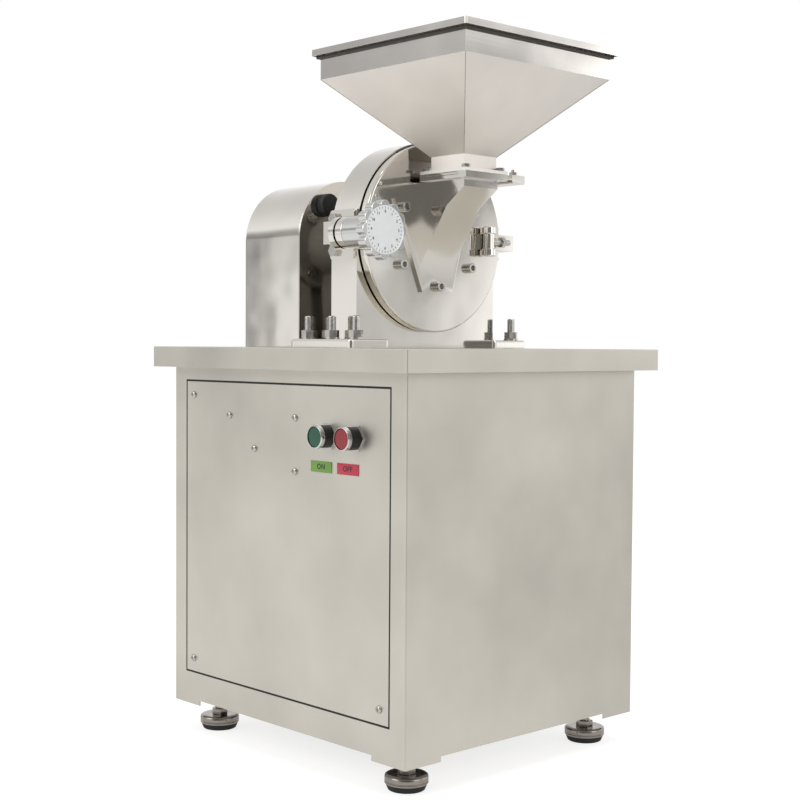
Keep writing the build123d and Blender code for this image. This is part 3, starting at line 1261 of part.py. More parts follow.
def hopper():
    half = GATE_FLANGE_W / 2
    x = HOPPER_X
    w = HOPPER_W
    body = block(X_GATE0, X_GATE1, -half, half, Z_HOPPER_FLANGE, Z_NECK)
    body += block(x - NECK_W / 2, x + NECK_W / 2, -NECK_W / 2, NECK_W / 2, Z_NECK, Z_FUNNEL)
    body += frustum(NECK_W, w, Z_FUNNEL, Z_BAND, x)
    body += block(x - w / 2, x + w / 2, -w / 2, w / 2, Z_BAND, Z_HOPPER_TOP)
    lip = w / 2 + HOPPER_LIP
    body += block(x - lip, x + lip, -lip, lip, Z_HOPPER_TOP - HOPPER_SHEET, Z_HOPPER_TOP)
    neck_in = NECK_W / 2 - HOPPER_SHEET
    band_in = w / 2 - HOPPER_SHEET
    body -= block(x - neck_in, x + neck_in, -neck_in, neck_in, Z_HOPPER_FLANGE, Z_FUNNEL)
    body -= frustum(2 * neck_in, 2 * band_in, Z_FUNNEL, Z_BAND, x)
    body -= block(x - band_in, x + band_in, -band_in, band_in, Z_BAND, Z_HOPPER_TOP)
    for bx, by in flange_bolt_places():
        body -= rod_z(M6_R + BOLT_CLEARANCE, Z_HOPPER_FLANGE, Z_NECK, bx, by)
    return body


def hopper_lid():
    half = LID_W / 2
    x = HOPPER_X
    z0 = Z_LID_TOP - LID_RIM
    lid = block(x - half, x + half, -half, half, z0, Z_LID_TOP)
    lid = fillet(vertical_edges(lid), LID_CORNER)
    inner = half - LID_SHEET
    return lid - block(x - inner, x + inner, -inner, inner, z0, Z_HOPPER_TOP)


# Belt cover
def hood(inset, x0, x1):
    half = COVER_HALF_W - inset
    body = block(x0, x1, -half, half, Z_TOP, Z_COVER_TOP - inset)
    return fillet(body.faces().sort_by(Axis.Z)[-1].edges().filter_by(Axis.X), COVER_CORNER - inset)


def belt_cover():
    x1 = COVER_FRONT - END_PLATE_T
    cover = hood(0, COVER_BACK, x1)
    cover = fillet(cover.faces().sort_by(Axis.X)[0].edges().sort_by(Axis.Z)[1:], COVER_EDGE)
    cover -= hood(COVER_SHEET, COVER_BACK + COVER_SHEET, x1 - COVER_SHEET)
    cover -= hood(COVER_SHEET + COVER_LIP, x1 - COVER_SHEET, x1)
    for y, z in KNOB_PLACES:
        cover -= rod_x(KNOB_STUD_R + BOLT_CLEARANCE, x1 - COVER_SHEET, x1, y, z)
    return cover


def cover_end_plate():
    x0 = COVER_FRONT - END_PLATE_T
    plate = hood(0, x0, COVER_FRONT)
    plate -= arch(END_PLATE_HOLE_R, x0, COVER_FRONT, Z_TOP, Z_AXIS)
    foot = COVER_HALF_W - COVER_SHEET - COVER_LIP - END_FOOT_GAP
    for side in (-1, 1):
        y = sorted((side * (END_PLATE_HOLE_R + END_FOOT_GAP), side * foot))
        plate += block(x0 - END_PLATE_FOOT, x0, *y, Z_TOP, Z_TOP + END_PLATE_T)
    for x, y in END_SCREW_PLACES:
        plate -= rod_z(PAN_SHANK_R + BOLT_CLEARANCE, Z_TOP, Z_TOP + END_PLATE_T, x, y)
    for y, z in KNOB_PLACES:
        plate -= rod_x(KNOB_STUD_R + BOLT_CLEARANCE, x0, COVER_FRONT, y, z)
    return plate


def cover_knobs():
    knobs = []
    x_nut = COVER_FRONT - END_PLATE_T - COVER_SHEET
    for y, z in KNOB_PLACES:
        knob = rod_x(KNOB_R, COVER_FRONT, COVER_FRONT + KNOB_L, y, z)
        knob = fillet(knob.edges().filter_by(GeomType.CIRCLE), KNOB_EDGE)
        knob += rod_x(KNOB_STUD_R, x_nut - KNOB_STUD_END, COVER_FRONT, y, z)
        knobs.append((knob + hex_x(HEX_M6, x_nut - HEX_M6_H, x_nut, y, z)).solid())
    return Compound(knobs)


# Discharge duct, from under the chamber to the rear panel
def duct_outline(inset, z_top):
    half = OUTLET_W / 2 + DUCT_SHEET - inset
    z_knee = Z_TABLE - DUCT_KNEE
    low = DUCT_MOUTH_LOW + inset
    high = DUCT_MOUTH_LOW + DUCT_MOUTH_H + 2 * DUCT_SHEET - inset
    wall = Y_HALF - CABINET_SHEET
    y_end = Y_HALF + DUCT_SPOUT
    return [(-half, z_top), (half, z_top), (half, z_knee), (wall, high), (y_end, high), (y_end, low),
            (wall, low), (-half, z_knee)]


def discharge_chute():
    x0 = OUTLET_X0
    x1 = OUTLET_X0 + OUTLET_L
    z1 = Z_TOP - TABLE_SHEET
    half = OUTLET_W / 2 + DUCT_FLANGE
    duct = prism_x(duct_outline(0, z1), x0, x1)
    duct += block(x0 - DUCT_FLANGE, x1 + DUCT_FLANGE, -half, half, z1 - DUCT_SHEET, z1)
    return duct - prism_x(duct_outline(DUCT_SHEET, z1), x0, x1)


def discharge_cheeks():
    outline = duct_outline(0, Z_TOP - TABLE_SHEET - DUCT_SHEET)
    x1 = OUTLET_X0 + OUTLET_L
    return Compound([
        prism_x(outline, OUTLET_X0 - DUCT_SHEET, OUTLET_X0).solid(),
        prism_x(outline, x1, x1 + DUCT_SHEET).solid(),
    ])


def build_nodes():
    nodes = {
        "cabinet_shell": cabinet_shell(),
        "table_top": table_top(),
        "front_panel": front_panel(),
        "rear_panel": rear_panel(),
        "pan_screws": pan_screws(),
        "button_bodies": Compound([button_body(x).solid() for x in BUTTON_X]),
        "button_bezels": Compound([button_bezel(x).solid() for x in BUTTON_X]),
        "button_nuts": Compound([button_nut(x).solid() for x in BUTTON_X]),
        "start_cap": button_cap(BUTTON_X[0]),
        "stop_cap": button_cap(BUTTON_X[1]),
        "contactor": panel_unit(CONTACTOR_HOLES, CONTACTOR_W, CONTACTOR_H, CONTACTOR_L),
        "terminal_block": panel_unit(TERMINAL_HOLES, TERMINAL_W, TERMINAL_H, TERMINAL_L),
        "cable_gland": cable_gland(),
        "motor_rails": motor_rails(),
        "motor_frame": motor_frame(),
        "motor_stator": motor_stator(),
        "motor_end_shields": motor_end_shields(),
        "motor_rotor": motor_rotor(),
        "motor_fan": motor_fan(),
        "fan_cover": fan_cover(),
        "motor_terminal_box": motor_terminal_box(),
        "motor_pulley": pulley(MOTOR_PULLEY_R, Z_MOTOR, MOTOR_SHAFT_R),
        "spindle_pulley": pulley(SPINDLE_PULLEY_R, Z_AXIS, SPINDLE_END_R),
        "v_belts": v_belts(),
        "mill_housing": mill_housing(),
        "hold_down_bolts": hold_down_bolts(),
        "bearing_housing": bearing_housing(),
        "bearing_outer_rings": bearing_outer_rings(),
        "bearing_inner_rings": bearing_inner_rings(),
        "bearing_caps": bearing_caps(),
        "ring_screen": ring_screen(),
        "spindle": spindle(),
        "rotor_disc": rotor_disc(),
        "rotor_nut": rotor_nut(),
        "door": door(),
        "hinge_strap": hinge_strap(),
        "door_gasket": door_gasket(),
        "fixed_disc": fixed_disc(),
        "door_bolts": door_bolts(),
        "handwheel": hand_wheel(),
        "dial_plate": dial_plate(),
        "hand_screw": hand_screw(),
        "latch_bracket": latch_bracket(),
        "hinge_bracket": hinge_bracket(),
        "hinge_pin": hinge_pin(),
        "bracket_bolts": bracket_bolts(),
        "feed_chute": feed_chute(),
        "flange_bolts": flange_bolts(),
        "feed_gate": feed_gate(),
        "hopper": hopper(),
        "hopper_lid": hopper_lid(),
        "belt_cover": belt_cover(),
        "cover_end_plate": cover_end_plate(),
        "cover_knobs": cover_knobs(),
        "discharge_chute": discharge_chute(),
        "discharge_cheeks": discharge_cheeks(),
    }
    for i, (x, y) in enumerate(FOOT_PLACES):
        nodes[f"levelling_foot_{i + 1}"] = levelling_foot(x, y)
    return nodes


os.makedirs("parts", exist_ok=True)
for name, shape in build_nodes().items():
    export_step(shape, f"parts/{name}.step")
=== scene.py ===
# Sugar grinder: rounds the solids' edges, gives them their finishes, and adds the small pieces and the stage.
import json
from math import cos, pi, radians, sin

import bmesh
import bpy
from bpy.props import FloatProperty, FloatVectorProperty, IntProperty, PointerProperty, StringProperty
from mathutils import Matrix, Vector

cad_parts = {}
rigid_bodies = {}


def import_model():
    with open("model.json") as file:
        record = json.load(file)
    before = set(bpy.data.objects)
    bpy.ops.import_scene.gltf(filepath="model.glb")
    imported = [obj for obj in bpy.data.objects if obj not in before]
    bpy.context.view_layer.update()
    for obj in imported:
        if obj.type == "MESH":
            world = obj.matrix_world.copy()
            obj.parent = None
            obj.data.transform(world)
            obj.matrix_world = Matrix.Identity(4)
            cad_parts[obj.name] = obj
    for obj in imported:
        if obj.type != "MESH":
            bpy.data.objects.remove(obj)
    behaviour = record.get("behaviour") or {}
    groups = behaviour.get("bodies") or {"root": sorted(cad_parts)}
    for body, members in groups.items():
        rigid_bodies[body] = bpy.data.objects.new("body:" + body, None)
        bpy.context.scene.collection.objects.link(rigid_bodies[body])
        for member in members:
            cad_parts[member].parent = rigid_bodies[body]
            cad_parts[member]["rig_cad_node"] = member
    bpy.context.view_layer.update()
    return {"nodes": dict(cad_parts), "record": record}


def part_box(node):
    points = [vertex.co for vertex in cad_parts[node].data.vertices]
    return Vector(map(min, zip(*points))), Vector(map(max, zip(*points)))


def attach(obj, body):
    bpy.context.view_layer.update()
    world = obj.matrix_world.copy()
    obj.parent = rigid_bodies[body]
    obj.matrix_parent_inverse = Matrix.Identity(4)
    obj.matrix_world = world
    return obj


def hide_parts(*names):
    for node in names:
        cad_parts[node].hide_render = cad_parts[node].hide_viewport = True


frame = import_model()

bl_info = {
    "name": "Sugar grinder dressing",
    "version": (1, 0, 0),
    "blender": (4, 5, 0),
    "location": "View3D > Sidebar > Grinder",
    "description": "Finishes, small pieces and a stage for the sugar grinder",
    "category": "Object",
}

MM = 0.001
SLOT_OF = {part["node"]: part["material_slot"] for part in frame["record"]["subparts"]}
BODY_OF = {
    node: body for body, nodes in frame["record"]["behaviour"]["bodies"].items() for node in nodes
}
FEET = [f"levelling_foot_{number}" for number in range(1, 5)]
PANEL_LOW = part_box("front_panel")[0]
DIAL_LOW, DIAL_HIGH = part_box("dial_plate")
DOOR_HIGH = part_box("door")[1]
HOPPER_LOW, HOPPER_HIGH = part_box("hopper")
LID_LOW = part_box("hopper_lid")[0]

# Edge radius in millimetres for the solids whose edges show, by node
EDGES = {
    "cabinet_shell": 0.5, "table_top": 0.6, "front_panel": 0.4, "rear_panel": 0.4, "mill_housing": 1.2,
    "door": 0.8, "hinge_strap": 0.6, "feed_chute": 0.5, "hopper": 0.6, "hopper_lid": 0.6, "belt_cover": 0.5,
    "cover_end_plate": 0.5, "feed_gate": 0.5, "handwheel": 1.6, "latch_bracket": 0.8, "hinge_bracket": 0.8,
    "hold_down_bolts": 0.4, "door_bolts": 0.3, "bracket_bolts": 0.4, "flange_bolts": 0.3,
    "button_bodies": 0.4, "button_bezels": 0.4, "button_nuts": 0.3, "discharge_chute": 0.4,
    "discharge_cheeks": 0.3, "bearing_housing": 1.0, "motor_rails": 0.6, "cable_gland": 0.4,
}
# What shows where an edge is rubbed, by slot
RUBBED = {"satin_steel": "rubbed_steel", "hopper_steel": "rubbed_steel", "cast_grey": "bare_iron"}
# Solids with a finish other than their slot's
FINISH_OF = {"belt_cover": "cover_steel", "cover_end_plate": "cover_steel", "hopper_lid": "band_steel"}

# How near corners are when they merge, how flat faces are when they join, which edges get rounded, and
# where the shading breaks
MERGE_REACH = 0.002 * MM
FLAT_ANGLE = radians(0.5)
SHARP_ANGLE = radians(40)
SMOOTH_ANGLE = radians(35)
# A face looks along an axis past the first of these cosines, and across it under the second
LOOKS_ALONG = 0.9
LOOKS_ACROSS = 0.1
# The least share of a slanted edge's length that lies along each axis
SLANT = 0.3

# Outlines of the turned pieces: radius and height in millimetres, from the bottom up
FOOT_CUP = (
    (25.2, 7.6), (26.0, 8.4), (26.0, 9.6), (25.4, 10.2), (25.4, 10.8), (26.0, 11.4), (26.0, 16.0),
    (25.5, 17.3), (24.2, 18.2), (22.0, 18.4), (12.0, 18.7), (11.0, 18.4),
)
FOOT_HEXAGON = ((10.2, 18.0), (10.97, 18.8), (10.97, 25.7), (10.2, 26.4))
FOOT_STUD = ((6.0, 26.0), (6.0, 61.0), (5.0, 62.4))
FOOT_PAD = ((21.0, 0.0), (22.0, 0.6), (23.0, 3.0), (24.6, 6.6), (24.8, 7.6))
SCREW = ((2.5, -8.5), (2.5, 0.0), (4.4, 0.02), (4.6, 0.4), (4.5, 1.4), (4.0, 2.2), (3.0, 2.75), (1.6, 3.0))
RIVET = ((3.2, -0.5), (3.2, 0.4), (2.9, 1.1), (2.0, 1.7), (0.8, 1.95))

# Height of a screw's top above the panel, and the cross in it: one arm's length, width and depth, its
# rounding, and the height of its middle
SCREW_TOP = SCREW[-1][1] * MM
CROSS_ARM = (5.2 * MM, 1.1 * MM, 3.0 * MM)
CROSS_EDGE = 0.2 * MM
CROSS_MIDDLE = 3.1 * MM

# Roundings and heights of the small flat pieces
PLATE_EDGE = 0.25 * MM
LETTER_RISE = 0.2 * MM
TICK_EDGE = 0.05 * MM
NUMBER_RISE = 0.3 * MM
# The dark rubber band under the hopper lid's rim is painted shade, standing in for the shadow gap there
LID_SHADOW_BAND_EDGE = 0.8 * MM
# The black rubber strips in the gaps round the panels are painted shade, darkening the gaps
SHADE_STRIP_EDGE = 0.2 * MM
HOOD_EDGE = 0.4 * MM
# Lettering: how much its strokes swell, as a share of its height, and its spacing
STROKE_SWELL = 0.025
LETTER_SPACING = 1.12

# Turns of a piece that is drawn with its face towards +Z, by the side that it then faces
FACING = {
    "panel": Matrix.Rotation(pi / 2, 4, "X"),
    "rear": Matrix.Rotation(-pi / 2, 4, "X"),
    "door": Matrix.Rotation(pi / 2, 4, "Z") @ Matrix.Rotation(pi / 2, 4, "X"),
}

# Where most values of a noise texture lie
NOISE_SPAN = {"From Min": 0.3, "From Max": 0.7}

# Area lamps: place and side in metres, and power in watts
LAMPS = {
    "key_lamp": ((-1.2, -3.4, 2.6), 2.2, 40),
    "top_lamp": ((0.6, 0.2, 3.6), 2.6, 50),
    "fill_lamp": ((3.6, 0.8, 1.8), 2.0, 14),
}
LAMP_AIM = Vector((0, 0, 0.5))
# Light that the world gives to matt surfaces
AMBIENT = 0.7
# The floor's own light: how bright it is to the camera, and its share beside the lamps' light
FLOOR_WHITE = 1.3
FLOOR_SHARE = 0.6
# Width of the camera's frame in millimetres
FRAME_WIDTH = 36.0
# Level direction of the studio's window wall, from the object
WINDOW_SIDE = (0.68, 0.73, 0.0)
# Dark cloths round the studio, as the mirrors see them: the share of light that each takes, and the
# directions that it lies along, each with the cosine where it starts and where it is full.
# They hang behind the camera, left of the window, low under that one, twice behind the belt cover, and
# high on the panel's side. The last two are the window, its glow and its near edge, and add light instead.
CLOTHS = (
    (0.80, (((0.72, -0.69, 0.08), 0.71, 0.88),)),
    (0.80, (
        ((0.616, -0.627, 0.478), -0.01, 0.03), ((-0.342, 0.940, 0.0), 0.0, 0.1),
        ((-0.599, 0.637, 0.486), 0.017, 0.028), ((0, 0, 1), 0.265, 0.155),
    )),
    (0.38, (((0.701, -0.713, 0.0), -0.02, 0.02), ((-0.342, 0.940, 0.0), 0.0, 0.1), ((0, 0, 1), 0.06, 0.03))),
    (0.60, (((-0.613, 0.790, 0.0), 0.0, 0.006), ((-0.94, -0.342, 0.0), 0.8, 0.9), ((0, 0, 1), 0.3, 0.05))),
    (0.25, (((-0.766, -0.643, 0.0), 0.95, 0.98), ((0, 0, 1), 0.045, 0.06), ((0, 0, 1), 0.3, 0.09))),
    (0.48, (((-0.731, -0.682, 0.0), 0.93, 0.97), ((0, 0, 1), 0.12, 0.15), ((0, 0, 1), 0.4, 0.24))),
    (-0.50, (((0.5, 0.866, 0.0), 0.960, 0.985),)),
    (-0.45, (
        ((-0.759, 0.651, 0.0), 0.0, 0.012), ((0.5, 0.866, 0.0), 0.9, 0.95),
        ((0, 0, 1), 0.12, 0.16), ((0, 0, 1), 0.5, 0.4),
    )),
)

# Materials by slot or use, filled in by main
finishes = {}


class GrinderColours(bpy.types.PropertyGroup):
    """Colours of the finishes, as sRGB hex values."""

    satin: StringProperty(name="Satin steel", description="Cabinet and table", default="#D6D2C8")
    hopper: StringProperty(name="Hopper steel", description="Hopper and lid", default="#F4EFE9")
    polished: StringProperty(name="Polished steel", description="Mill head", default="#E6E2DB")
    fastener: StringProperty(name="Fasteners", description="Bolts, nuts and screws", default="#C8C5C0")
    ground: StringProperty(name="Ground steel", description="Shafts and discs", default="#A8A7A5")
    nickel: StringProperty(name="Foot metal", description="Cups of the feet", default="#9D9690")
    start: StringProperty(name="Start cap", description="Green push button", default="#084E35")
    stop: StringProperty(name="Stop cap", description="Red push button", default="#8E1E26")
    start_plate: StringProperty(name="Start plate", description="Under the start button", default="#6F9A40")
    stop_plate: StringProperty(name="Stop plate", description="Under the stop button", default="#BC3348")
    dial: StringProperty(name="Dial", description="Dial face in the handwheel", default="#E9EBEC")
    motor: StringProperty(name="Motor paint", description="Paint of the motor", default="#55616A")
    casting: StringProperty(name="Casting paint", description="Paint of rails and bearing", default="#75706A")


class GrinderSizes(bpy.types.PropertyGroup):
    """Sizes of the added pieces."""

    plate_width: FloatProperty(
        name="Plate width", description="Width of a button's plate", default=38.5 * MM, unit="LENGTH"
    )
    plate_height: FloatProperty(
        name="Plate height", description="Height of a button's plate", default=13.5 * MM, unit="LENGTH"
    )
    plate_thickness: FloatProperty(
        name="Plate thickness", description="Thickness of a button's plate", default=0.8 * MM, unit="LENGTH"
    )
    plate_shift: FloatProperty(
        name="Plate shift", description="How far a plate sits left of its button", default=11.0 * MM,
        unit="LENGTH",
    )
    plate_drop: FloatProperty(
        name="Plate drop", description="How far a plate sits under its button", default=37.0 * MM,
        unit="LENGTH",
    )
    # The dark rubber band under the lid's rim is painted shade, put in the lid's shadow gap
    seal_height: FloatProperty(
        name="Shadow band height", description="Height of the rubber band under the lid's rim", default=3.4 * MM,
        unit="LENGTH",
    )
    seal_wall: FloatProperty(
        name="Shadow band wall", description="Thickness of the hopper's rubber band", default=4.15 * MM,
        unit="LENGTH",
    )
    seal_inset: FloatProperty(
        name="Shadow band inset", description="How far the band stands in from the hopper's lip", default=0.8 * MM,
        unit="LENGTH",
    )
    panel_gap: FloatProperty(
        name="Panel gap", description="Width of the gap round a panel", default=2.5 * MM, unit="LENGTH"
    )
    # The black rubber strips in the panel gaps are painted shade, darkening the gaps
    panel_seal_depth: FloatProperty(
        name="Shade strip depth", description="Thickness of the rubber in the gap", default=0.9 * MM,
        unit="LENGTH",
    )
    panel_seal_back: FloatProperty(
        name="Shade strip set back", description="From the panel's middle to the rubber's back",
        default=0.5 * MM, unit="LENGTH",
    )
    band_height: FloatProperty(
        name="Hopper band", description="Height of the hopper's upright band", default=35.5 * MM,
        unit="LENGTH",
    )
    bead_radius: FloatProperty(
        name="Bead radius", description="Radius of the hopper's weld beads", default=0.45 * MM, unit="LENGTH"
    )
    letter_height: FloatProperty(
        name="Letter height", description="Height of the lettering on a plate", default=9.0 * MM,
        unit="LENGTH",
    )
    tick_count: IntProperty(name="Ticks", description="Marks round the dial", default=36, min=4)
    number_count: IntProperty(name="Numbers", description="Numbers round the dial", default=12, min=4)
    tick_size: FloatVectorProperty(
        name="Tick size", description="Height, width and length of a mark on the dial", size=3,
        default=(0.3 * MM, 0.6 * MM, 2.4 * MM), unit="LENGTH",
    )
    tick_inset: FloatProperty(
        name="Tick inset", description="From the dial's edge to the middle of a mark", default=3.0 * MM,
        unit="LENGTH",
    )
    number_height: FloatProperty(
        name="Number height", description="Height of a number on the dial", default=4.6 * MM, unit="LENGTH"
    )
    number_inset: FloatProperty(
        name="Number inset", description="From the dial's edge to the middle of a number", default=7.5 * MM,
        unit="LENGTH",
    )
    rivet_reach: FloatProperty(
        name="Rivet reach", description="How far the rivets sit from the spindle's axis", default=115.1 * MM,
        unit="LENGTH",
    )
    rivet_angles: FloatVectorProperty(
        name="Rivet angles", description="Where the rivets sit round the spindle's axis", size=2,
        default=(radians(146.5), radians(155.7)), subtype="NONE", unit="ROTATION",
    )
    vent_side: FloatProperty(
        name="Vent side", description="How far the two columns of vents sit from the middle",
        default=110.0 * MM, unit="LENGTH",
    )
    vent_low: FloatProperty(
        name="Lowest hood", description="Height of the lowest vent hoods", default=334.0 * MM, unit="LENGTH"
    )
    vent_pitch: FloatProperty(
        name="Vent pitch", description="Height from one vent to the next", default=16.0 * MM, unit="LENGTH"
    )
    vent_rows: IntProperty(name="Vent rows", description="Vents in a column", default=7, min=1)
    hood_size: FloatVectorProperty(
        name="Hood size", description="Width, depth and height of a vent's hood", size=3,
        default=(96.0 * MM, 5.0 * MM, 9.0 * MM), unit="LENGTH",
    )
    hood_lean: FloatProperty(
        name="Hood lean", description="How far a hood's upper edge leans back", default=4.0 * MM,
        unit="LENGTH",
    )
    hood_sheet: FloatProperty(
        name="Hood sheet", description="Thickness of a hood's sheet", default=0.8 * MM, unit="LENGTH"
    )


class GrinderStage(bpy.types.PropertyGroup):
    """Camera and floor."""

    camera_place: FloatVectorProperty(
        name="Camera place", description="Where the camera stands", default=(1.4155, -1.3195, 0.5202),
        subtype="TRANSLATION", unit="LENGTH",
    )
    camera_turn: FloatProperty(
        name="Camera turn", description="Angle round from the panel side", default=radians(47.08),
        subtype="ANGLE", unit="ROTATION",
    )
    camera_tilt: FloatProperty(
        name="Camera tilt", description="Angle below the horizon", default=radians(2.20),
        subtype="ANGLE", unit="ROTATION",
    )
    camera_roll: FloatProperty(
        name="Camera roll", description="Lean of the camera", default=radians(0.371),
        subtype="ANGLE", unit="ROTATION",
    )
    lens: FloatProperty(name="Lens", description="Focal length on a 36 mm frame", default=65.66, min=10)
    floor_size: FloatProperty(name="Floor size", description="Side of the floor", default=30.0, unit="LENGTH")


# Modelling helpers
def deselect_all():
    """Leaves edit mode and selects nothing."""
    if bpy.context.object and bpy.context.object.mode != "OBJECT":
        bpy.ops.object.mode_set(mode="OBJECT")
    bpy.ops.object.select_all(action="DESELECT")


def make_active(piece):
    """Selects one piece alone."""
    deselect_all()
    piece.select_set(True)
    bpy.context.view_layer.objects.active = piece


def begin(name, add, **settings):
    """Adds a primitive and opens it in edit mode, with all of it selected."""
    deselect_all()
    add(**settings)
    piece = bpy.context.object
    piece.name = name
    bpy.ops.object.mode_set(mode="EDIT")
    return piece


def place(piece, matrix):
    """Moves a piece and puts its place into its mesh."""
    make_active(piece)
    piece.matrix_world = matrix
    bpy.context.view_layer.update()
    bpy.ops.object.transform_apply(location=True, rotation=True, scale=True)


def dress(piece, *names):
    """Gives a piece its finishes."""
    piece.data.materials.clear()
    for name in names:
        piece.data.materials.append(finishes[name])


def close_piece(piece, body, stands_for=()):
    """Shades a piece and ties it to its body."""
    make_active(piece)
    bpy.ops.object.shade_smooth_by_angle(angle=SMOOTH_ANGLE)
    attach(piece, body)
    if stands_for:
        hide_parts(*stands_for)


def merged_copy(node, name):
    """A free copy of a solid's mesh, with its loose triangles merged and its stored shading cleared."""
    make_active(frame["nodes"][node])
    bpy.ops.object.duplicate()
    piece = bpy.context.object
    piece.name = name
    del piece["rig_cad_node"]
    piece.parent = None
    bpy.ops.object.mode_set(mode="EDIT")
    bpy.ops.mesh.select_all(action="SELECT")
    bpy.ops.mesh.remove_doubles(threshold=MERGE_REACH)
    bpy.ops.mesh.dissolve_limited(angle_limit=FLAT_ANGLE)
    bpy.ops.object.mode_set(mode="OBJECT")
    bpy.ops.mesh.customdata_custom_splitnormals_clear()
    return piece


def copy_of(piece, name, matrix):
    """A copy of a piece with a mesh of its own, set in place."""
    make_active(piece)
    bpy.ops.object.duplicate()
    copied = bpy.context.object
    copied.name = name
    place(copied, matrix)
    return copied


def join(pieces, name):
    """Joins pieces into the first one."""
    deselect_all()
    for piece in pieces:
        piece.select_set(True)
    bpy.context.view_layer.objects.active = pieces[0]
    bpy.ops.object.join()
    pieces[0].name = name
    return pieces[0]


def delete(piece):
    """Removes a piece that has served its use."""
    make_active(piece)
    bpy.ops.object.delete()


def pick_faces(piece, test):
    """Selects the faces whose centre and normal pass a test."""
    bpy.ops.mesh.select_mode(type="FACE")
    bpy.ops.mesh.select_all(action="DESELECT")
    mesh = bmesh.from_edit_mesh(piece.data)
    for face in mesh.faces:
        face.select_set(test(face.calc_center_median(), face.normal))
    bmesh.update_edit_mesh(piece.data)


def turned(name, profile, vertices=64):
    """A turned solid along +Z, from radius and height pairs in millimetres, grown ring by ring."""
    radius, height = profile[0]
    piece = begin(
        name, bpy.ops.mesh.primitive_circle_add, vertices=vertices, radius=radius * MM, fill_type="NGON",
        location=(0, 0, height * MM),
    )
    bpy.ops.object.mode_set(mode="OBJECT")
    bpy.ops.object.transform_apply(location=True, rotation=True, scale=True)
    bpy.ops.object.mode_set(mode="EDIT")
    bpy.ops.mesh.select_all(action="SELECT")
    for next_radius, next_height in profile[1:]:
        rise = (next_height - height) * MM
        bpy.ops.mesh.extrude_region_move(TRANSFORM_OT_translate={"value": (0, 0, rise)})
        grow = next_radius / radius
        bpy.ops.transform.resize(value=(grow, grow, 1), center_override=(0, 0, next_height * MM))
        radius, height = next_radius, next_height
    bpy.ops.mesh.select_all(action="SELECT")
    bpy.ops.mesh.normals_make_consistent(inside=False)
    bpy.ops.object.mode_set(mode="OBJECT")
    return piece


def rounded_block(name, size, edge, segments=2):
    """A block about the origin, sized in metres, with its edges rounded."""
    piece = begin(name, bpy.ops.mesh.primitive_cube_add, size=1)
    bpy.ops.transform.resize(value=size, center_override=(0, 0, 0))
    bpy.ops.mesh.bevel(offset=edge, segments=segments, affect="EDGES")
    bpy.ops.object.mode_set(mode="OBJECT")
    return piece


def square_band(name, width, depth, wall, height, edge):
    """A rectangular band about the origin, standing on XY, sized in metres."""
    piece = begin(name, bpy.ops.mesh.primitive_plane_add, size=1)
    bpy.ops.transform.resize(value=(width, depth, 1), center_override=(0, 0, 0))
    bpy.ops.mesh.inset(thickness=wall, use_boundary=True)
    bpy.ops.mesh.delete(type="FACE")
    bpy.ops.mesh.select_all(action="SELECT")
    bpy.ops.mesh.extrude_region_move(TRANSFORM_OT_translate={"value": (0, 0, height)})
    bpy.ops.mesh.select_all(action="SELECT")
    bpy.ops.mesh.normals_make_consistent(inside=False)
    bpy.ops.object.mode_set(mode="OBJECT")
    soften(piece, edge)
    return piece


def soften(piece, edge, finish_number=-1):
    """Rounds a piece's sharp edges, with one of its finishes on the rounding."""
    make_active(piece)
    rounding = piece.modifiers.new("edge", "BEVEL")
    rounding.width = edge
    rounding.segments = 2
    rounding.limit_method = "ANGLE"
    rounding.angle_limit = SHARP_ANGLE
    rounding.material = finish_number
    bpy.ops.object.modifier_apply(modifier=rounding.name)


def boolean_cut(piece, cutter):
    """Cuts one piece out of another and removes the cutter."""
    make_active(piece)
    cut = piece.modifiers.new("cut", "BOOLEAN")
    cut.operation = "DIFFERENCE"
    cut.solver = "EXACT"
    cut.object = cutter
    bpy.ops.object.modifier_apply(modifier=cut.name)
    delete(cutter)


def lettering(name, words, height, thickness, matrix):
    """Raised lettering, made a mesh before it is placed."""
    deselect_all()
    bpy.ops.object.text_add()
    text = bpy.context.object
    text.name = name
    text.data.body = words
    text.data.size = height
    text.data.extrude = thickness / 2
    text.data.offset = STROKE_SWELL * height
    text.data.space_character = LETTER_SPACING
    text.data.align_x = "CENTER"
    text.data.align_y = "CENTER"
    text.data.resolution_u = 4
    bpy.ops.object.convert(target="MESH")
    piece = bpy.context.object
    place(piece, matrix)
    return piece


def facing(side, x, y, z):
    """The place of a piece that is drawn with its face towards +Z, turned to one side of the grinder."""
    return Matrix.Translation((x, y, z)) @ FACING[side]


def loose_boxes(node):
    """The box of each separate solid in a node."""
    merged_copy(node, "loose")
    bpy.ops.object.mode_set(mode="EDIT")
    bpy.ops.mesh.separate(type="LOOSE")
    bpy.ops.object.mode_set(mode="OBJECT")
    found = []
    copies = list(bpy.context.selected_objects)
    for copied in copies:
        places = [vertex.co for vertex in copied.data.vertices]
        low = Vector(min(p[axis] for p in places) for axis in range(3))
        high = Vector(max(p[axis] for p in places) for axis in range(3))
        found.append((low, high))
    for copied in copies:
        delete(copied)
    return sorted(found, key=lambda box: tuple(box[0]))


# Shader helpers
def linear(code):
    """An sRGB hex value as linear red, green, blue and alpha."""
    parts = [int(code[i : i + 2], 16) / 255 for i in (1, 3, 5)]
    return [p / 12.92 if p <= 0.04045 else ((p + 0.055) / 1.055) ** 2.4 for p in parts] + [1.0]


def add(tree, kind, links=None, **settings):
    """Adds a shader node with its settings, and sets or links its inputs."""
    made = tree.nodes.new(kind)
    for key, value in settings.items():
        setattr(made, key, value)
    for key, value in (links or {}).items():
        if isinstance(value, bpy.types.NodeSocket):
            tree.links.new(value, made.inputs[key])
        else:
            made.inputs[key].default_value = value
    return made


